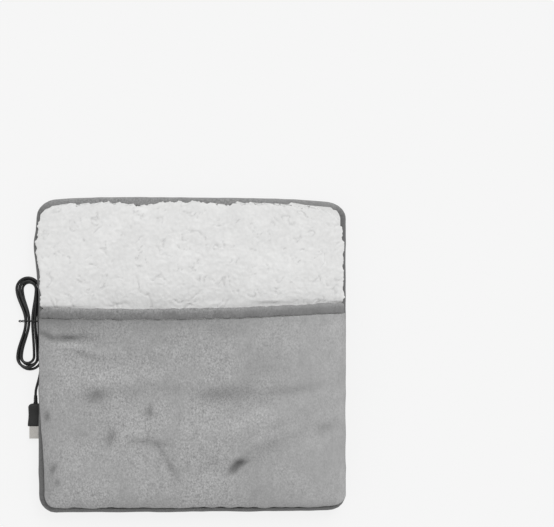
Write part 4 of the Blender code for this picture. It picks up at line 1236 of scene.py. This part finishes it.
def pocket_place(side, columns, rows, sizes):
    """Gives x and y of a grid place in one half, close together at the seams."""

    def at(i, j):
        across = 0.45 * i / columns + 0.55 * math.sin(math.pi / 2 * i / columns)
        up = 0.5 * j / rows + 0.5 * (1 - math.cos(math.pi / 2 * j / rows))
        reach = sizes.mouth + sizes.sewn_half_length
        level = up * reach - sizes.sewn_half_length
        x = side * across * width_at(level, sizes.sewn_half_width, sizes.sewn_half_length, sizes.sewn_corner)
        y = up * (reach + mouth_at(x, sizes) - sizes.mouth) - sizes.sewn_half_length
        return x, y

    return at


def front_spread(x, y, sizes):
    """How far the front's cloth bulges out over the rim, less and less down its left side."""
    left_growth = FRONT_SPREAD_LEFT_TOP - FRONT_SPREAD_LEFT_BOTTOM
    left = FRONT_SPREAD_LEFT_BOTTOM + left_growth * blend_step(y, -0.125, -0.030)
    sideways = (FRONT_SPREAD_RIGHT if x > 0 else -left) * abs(x / sizes.sewn_half_width) ** SPREAD_POWER
    uneven = SEAM_UNEVEN * (roughly(x, 0.0, 48.0, 2.0) + 0.5 * roughly(x, 0.0, 120.0, 6.0))
    down = (FRONT_SPREAD_DOWN + uneven) * max(0.0, -y / sizes.sewn_half_length) ** SPREAD_POWER
    return Vector((sideways, -down, 0.0))


def seam_direction(x, y, sizes):
    """Points out of the pocket at its sewn seams and is nothing well inside them."""
    beside = max(0.0, abs(x) - (sizes.sewn_half_width - sizes.sewn_corner))
    below = max(0.0, -y - (sizes.sewn_half_length - sizes.sewn_corner))
    return Vector((math.copysign(beside, x), -below, 0.0)) / sizes.sewn_corner


def pocket_front(name, side, material, sizes):
    """The front's cloth, which spreads over the rim, rolls under at its seams and turns down at the mouth."""
    place = pocket_place(side, FRONT_COLUMNS, FRONT_ROWS, sizes)

    def top(i, j):
        x, y = place(i, j)
        z = height(POCKET_TOP, pocket_crown(x, y, sizes)) + cloth_shift(x, y, sizes)
        z -= MOUTH_ROLL * math.exp((y - mouth_at(x, sizes)) / MOUTH_ROLL_REACH)
        # Painted shade in the folds and dimples, and the hem's painted shadow on the cloth beside it,
        # stronger on the left and fainter on the right
        fold_shade = FOLD_SHADE_PER_DEPTH * max(0.0, -fold_rise(x, y))
        hem_shadow = HEM_SHADOW * math.exp((y - mouth_at(x, sizes)) / HEM_SHADOW_REACH)
        darker = HEM_SHADOW_DARKER_LEFT * blend_step(-x, 0.05, 0.13)
        lighter = HEM_SHADOW_LIGHTER_RIGHT * blend_step(x, -0.02, 0.12)
        shares[i, j] = min(PAINTED_SHADE_MOST, fold_shade + hem_shadow * (1 + darker - lighter))
        return Vector((x, y, z)) + front_spread(x, y, sizes)

    def roll(out, drop):
        def at(i, j):
            if i < FRONT_COLUMNS and j > 0:
                return top(i, j).lerp(low(i, j), drop / FRONT_ROLL_DROP)
            x, y = place(i, j)
            z = height(POCKET_TOP, pocket_crown(x, y, sizes)) - drop
            return Vector((x, y, z)) + front_spread(x, y, sizes) + out * seam_direction(x, y, sizes)

        return at

    def low(i, j):
        x, y = place(i, j)
        z = height(POCKET_FRONT_LOW, pocket_crown(x, y, sizes)) + cloth_shift(x, y, sizes)
        inward = FRONT_ROLL_IN * abs(x / sizes.sewn_half_width) ** SPREAD_POWER
        return Vector((x, y, z)) + front_spread(x, y, sizes) - inward * seam_direction(x, y, sizes)

    shares = {}
    rims = [roll(*stop) for stop in FRONT_RIMS]
    piece = closed_layer(name, FRONT_COLUMNS, FRONT_ROWS, top, rims, low, material)
    store_share(piece, "painted_shade_share", shares.values())
    return piece


def pocket_layer(name, side, grid, top_layer, low_layer, material, sizes, pile=0.0):
    """A layer behind the front, drawn in a little at the seams so that the front's edge covers it."""
    columns, rows = grid
    place = pocket_place(side, columns, rows, sizes)

    def drawn_in(x, y, z):
        return Vector((x, y, z)) - LINING_PULL * seam_direction(x, y, sizes)

    def top(i, j):
        x, y = place(i, j)
        return drawn_in(x, y, height(top_layer, pocket_crown(x, y, sizes)) + cloth_shift(x, y, sizes))

    def low(i, j):
        x, y = place(i, j)
        crown = pocket_crown(x, y, sizes)
        z = height(low_layer, crown) + cloth_shift(x, y, sizes)
        if pile:
            clear = height(POCKET_LOW, crown) - height(PLUSH_TOP, pad_crown(x, y, sizes))
            curl = curl_share(x, y, CURL_SIZE, 4.0)
            curls[i, j] = curl
            z -= min(pile, PILE_SHARE_OF_GAP * clear) * (curl - 0.5)
        return drawn_in(x, y, z)

    curls = {}
    piece = closed_layer(name, columns, rows, top, (), low, material)
    if pile:
        store_share(piece, "curl_share", curls.values(), others_first=True)
    return piece


def bend_with_pocket(piece):
    """Bakes the piece's placing into its mesh."""
    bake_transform(piece)


class FOOTPAD_OT_pocket(bpy.types.Operator):
    """Sew the pocket's front, its wadding and its plush lining"""

    bl_idname = "foot_pad.pocket"
    bl_label = "Pocket"

    def execute(self, context):
        sizes, colours = settings()
        front = velvet("grey_velvet", colours.front)
        wadding = fibre_sheet("pocket_fibre", colours.wadding, *WADDING_LOOK)
        plush = curled_plush("pocket_sherpa", colours.plush)
        # Each inner layer's grid, top and underside
        fibre_shape = ((INNER_COLUMNS, INNER_ROWS), POCKET_WADDING_TOP, POCKET_WADDING_LOW)
        plush_shape = ((FRONT_COLUMNS, FRONT_ROWS), POCKET_LINING_TOP, POCKET_LOW)
        for side, word in SIDES:
            cloth = pocket_front(f"front_{word}", side, front, sizes)
            fibre = pocket_layer(f"fibre_{word}", side, *fibre_shape, wadding, sizes)
            lining = pocket_layer(f"inner_plush_{word}", side, *plush_shape, plush, sizes, sizes.pile)
            pieces = (
                ("front", "grey_velvet", cloth),
                ("wadding", "wadding", fibre),
                ("lining", "white_sherpa", lining),
            )
            for node, slot, piece in pieces:
                bend_with_pocket(piece)
                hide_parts(f"pocket_{node}")
        return {"FINISHED"}


# The rolled hem

HEM_STEPS = 110
HEM_SIDES = 32
HEM_SQUARENESS = 0.94
HEM_FRONT_SQUARENESS = 0.40
HEM_LIP = 0.0014
HEM_UNEVEN = 0.0005
HEM_SPREAD_RIGHT = 0.0035
HEM_SPREAD_LEFT = 0.0024
HEM_END_RISE = 0.0016
HEM_END_TURN = 0.0006
HEM_SHADE = 0.66


def hem_middle(x, sizes):
    """The middle of the hem's section and its half height there."""
    seam_y = mouth_at(x, sizes)
    crown = pocket_crown(x, seam_y, sizes)
    low = height(POCKET_LOW, crown)
    high = height(POCKET_TOP, crown)
    middle = Vector((x, seam_y + SEAT_GAP + sizes.hem / 2, (low + high) / 2 + cloth_shift(x, seam_y, sizes)))
    return middle, (high - low) / 2


def hem_half(name, side, material, sizes):
    builder = bmesh.new()
    rings = []
    shares = []
    for step in range(HEM_STEPS + 1):
        way = 0.5 * step / HEM_STEPS + 0.5 * math.sin(math.pi / 2 * step / HEM_STEPS)
        x = side * way * (sizes.sewn_half_width - SEAM_CLEARANCE)
        middle, half_height = hem_middle(x, sizes)
        middle.x += side * way**SPREAD_POWER * (HEM_SPREAD_RIGHT if side > 0 else HEM_SPREAD_LEFT)
        middle.z += HEM_END_RISE * way**20
        end = math.sqrt(1 - blend_step(way, 0.975, 1.0) ** 2 * 0.3)
        half_width = end * sizes.hem / 2
        half_height *= end
        # The end rounds off at its upper side and stays against the front
        middle.y -= (1 - end) * sizes.hem / 2 + HEM_END_TURN * way**20
        ring = []
        for away, up in circle(HEM_SIDES):
            # The roll is fuller beside the front, so that the groove between them stays shallow
            power = HEM_SQUARENESS + (HEM_FRONT_SQUARENESS - HEM_SQUARENESS) * blend_step(-away, -0.3, 0.6)
            wide = signed_power(away, power)
            tall = signed_power(up, power)
            ruffle = HEM_UNEVEN * noise.noise(Vector((x * 130, away * 1.2, up * 1.2)))
            reach = 1 + min(0.0, ruffle * 2 - HEM_UNEVEN) / half_height
            # The roll's upper part bulges over the front's edge
            lip = HEM_LIP * blend_step(tall, 0.80, 0.90) * blend_step(-away, 0.1, 0.6)
            offset = Vector((0, half_width * wide * reach - lip, half_height * tall * reach))
            ring.append(builder.verts.new(middle + offset))
            # Painted shade: the roll darkens towards its side beside the front, away from the light
            shares.append(HEM_SHADE * blend_step(-away, -1.3, 1.1))
        rings.append(ring)
    rings_to_mesh(builder, rings, False)
    hem = add_object(name, builder, material)
    store_share(hem, "painted_shade_share", shares)
    sharpen(hem, 60)
    settle(hem)
    return hem


class FOOTPAD_OT_hem(bpy.types.Operator):
    """Roll the hem at the pocket's mouth"""

    bl_idname = "foot_pad.hem"
    bl_label = "Hem"

    def execute(self, context):
        sizes, colours = settings()
        cloth = velvet("hem_velvet", colours.hem)
        for side, word in SIDES:
            hem = hem_half(f"hem_{word}", side, cloth, sizes)
            bend_with_pocket(hem)
            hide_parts("mouth_hem")
        return {"FINISHED"}


# The layers inside


class FOOTPAD_OT_inside(bpy.types.Operator):
    """Give the heater's own parts their materials"""

    bl_idname = "foot_pad.inside"
    bl_label = "Inside"

    def execute(self, context):
        colours = settings()[1]
        sleeve = soft_plastic("wire_sleeve", colours.sleeve, 0.45, 3000.0, 0.00004, 0.12)
        moulded = soft_plastic("inner_moulding", colours.moulded, 0.5, 4000.0, 0.00005)
        jacket = soft_plastic("inner_jacket", colours.jacket, 0.45, 2500.0, 0.00005, 0.3)
        finish_nodes(fibre_sheet("wadding", colours.wadding, *WADDING_LOOK), "lower_wadding")
        finish_nodes(fibre_sheet("felt", colours.felt, 900.0, 0.16, 0.0005), "heater_felt")
        finish_nodes(woven_sheet("cover_cloth", colours.cover, 900.0, 0.08, 0.85), "heater_cover")
        finish_nodes(sleeve, "heating_wire", "supply_lead_1", "supply_lead_2")
        finish_nodes(moulded, "splice_sleeve_1", "splice_sleeve_2", "cord_anchor")
        finish_nodes(soft_plastic("nylon_white", colours.nylon, *NYLON_LOOK), "thermal_cutout")
        finish_nodes(jacket, "inner_cord")
        return {"FINISHED"}


# The studio


class FOOTPAD_OT_stage(bpy.types.Operator):
    """Set up the pale floor, the soft light and the camera above the pad"""

    bl_idname = "foot_pad.stage"
    bl_label = "Studio"

    def execute(self, context):
        scene = context.scene
        shade = Shade("studio_floor", roughness=1.0, specular_ior_level=0.0)
        paper = shade.noise(shade.place(), 900.0, 2.0, 0.6)
        floor_tint = shade.darken(paper, (*FLOOR_LIGHT, 1.0), FLOOR_DARK)
        material = shade.finish(base_color=floor_tint)
        seen = shade.ray("Is Camera Ray") + shade.ray("Is Glossy Ray") + shade.ray("Is Transmission Ray")
        shade.lighten(seen * FLOOR_SHADOW_LIFT, floor_tint)
        builder = bmesh.new()
        bmesh.ops.create_grid(builder, x_segments=8, y_segments=8, size=FLOOR_SIZE)
        floor = add_object("studio_floor", builder, material)
        for vertex in floor.data.vertices:
            vertex.co.z = -FLOOR_DROP
        world = bpy.data.worlds.new("studio")
        world.use_nodes = True
        background = world.node_tree.nodes["Background"]
        background.inputs["Color"].default_value = (1.0, 1.0, 1.0, 1.0)
        background.inputs["Strength"].default_value = SKY_LIGHT
        scene.world = world
        lamp = bpy.data.lights.new("window", "SUN")
        lamp.energy = WINDOW_LIGHT
        lamp.angle = math.radians(WINDOW_DEGREES)
        sun = bpy.data.objects.new("window", lamp)
        sun.rotation_euler = Vector(WINDOW_SIDE).to_track_quat("Z", "Y").to_euler()
        scene.collection.objects.link(sun)
        camera_data = bpy.data.cameras.new("camera")
        camera_data.sensor_width = SENSOR_WIDTH
        camera_data.lens = SENSOR_WIDTH * (CAMERA_HEIGHT - VIEW_PLANE_Z) / VIEW_WIDTH
        camera_data.clip_end = 20.0
        camera = bpy.data.objects.new("camera", camera_data)
        camera.location = (*VIEW_CENTRE, CAMERA_HEIGHT)
        scene.collection.objects.link(camera)
        scene.camera = camera
        scene.view_settings.view_transform = "Standard"
        return {"FINISHED"}


# The panel


class FOOTPAD_PT_panel(bpy.types.Panel):
    """The pad's settings and its building steps"""

    bl_idname = "FOOTPAD_PT_panel"
    bl_label = "Foot pad"
    bl_space_type = "VIEW_3D"
    bl_region_type = "UI"
    bl_category = "Foot pad"

    def draw(self, context):
        layout = self.layout
        for group in (context.scene.foot_pad_sizes, context.scene.foot_pad_colours):
            for name in group.__annotations__:
                layout.prop(group, name)
        for operator in OPERATORS:
            layout.operator(operator.bl_idname)


GROUPS = (FootPadSizes, FootPadColours)
OPERATORS = (
    FOOTPAD_OT_stage,
    FOOTPAD_OT_cord,
    FOOTPAD_OT_inside,
    FOOTPAD_OT_plush,
    FOOTPAD_OT_rim,
    FOOTPAD_OT_base,
    FOOTPAD_OT_pocket,
    FOOTPAD_OT_hem,
)


def register():
    # Without a seed the curls' noise starts from the clock and differs each time
    noise.seed_set(CURL_SEED)
    for kind in (*GROUPS, *OPERATORS, FOOTPAD_PT_panel):
        bpy.utils.register_class(kind)
    bpy.types.Scene.foot_pad_sizes = PointerProperty(type=FootPadSizes)
    bpy.types.Scene.foot_pad_colours = PointerProperty(type=FootPadColours)


def unregister():
    del bpy.types.Scene.foot_pad_colours
    del bpy.types.Scene.foot_pad_sizes
    for kind in (FOOTPAD_PT_panel, *reversed(OPERATORS), *reversed(GROUPS)):
        bpy.utils.unregister_class(kind)


def main():
    register()
    bpy.ops.foot_pad.stage()
    bpy.ops.foot_pad.cord()
    bpy.ops.foot_pad.inside()
    bpy.ops.foot_pad.plush()
    bpy.ops.foot_pad.rim()
    bpy.ops.foot_pad.base()
    bpy.ops.foot_pad.pocket()
    bpy.ops.foot_pad.hem()


if __name__ == "__main__":
    main()
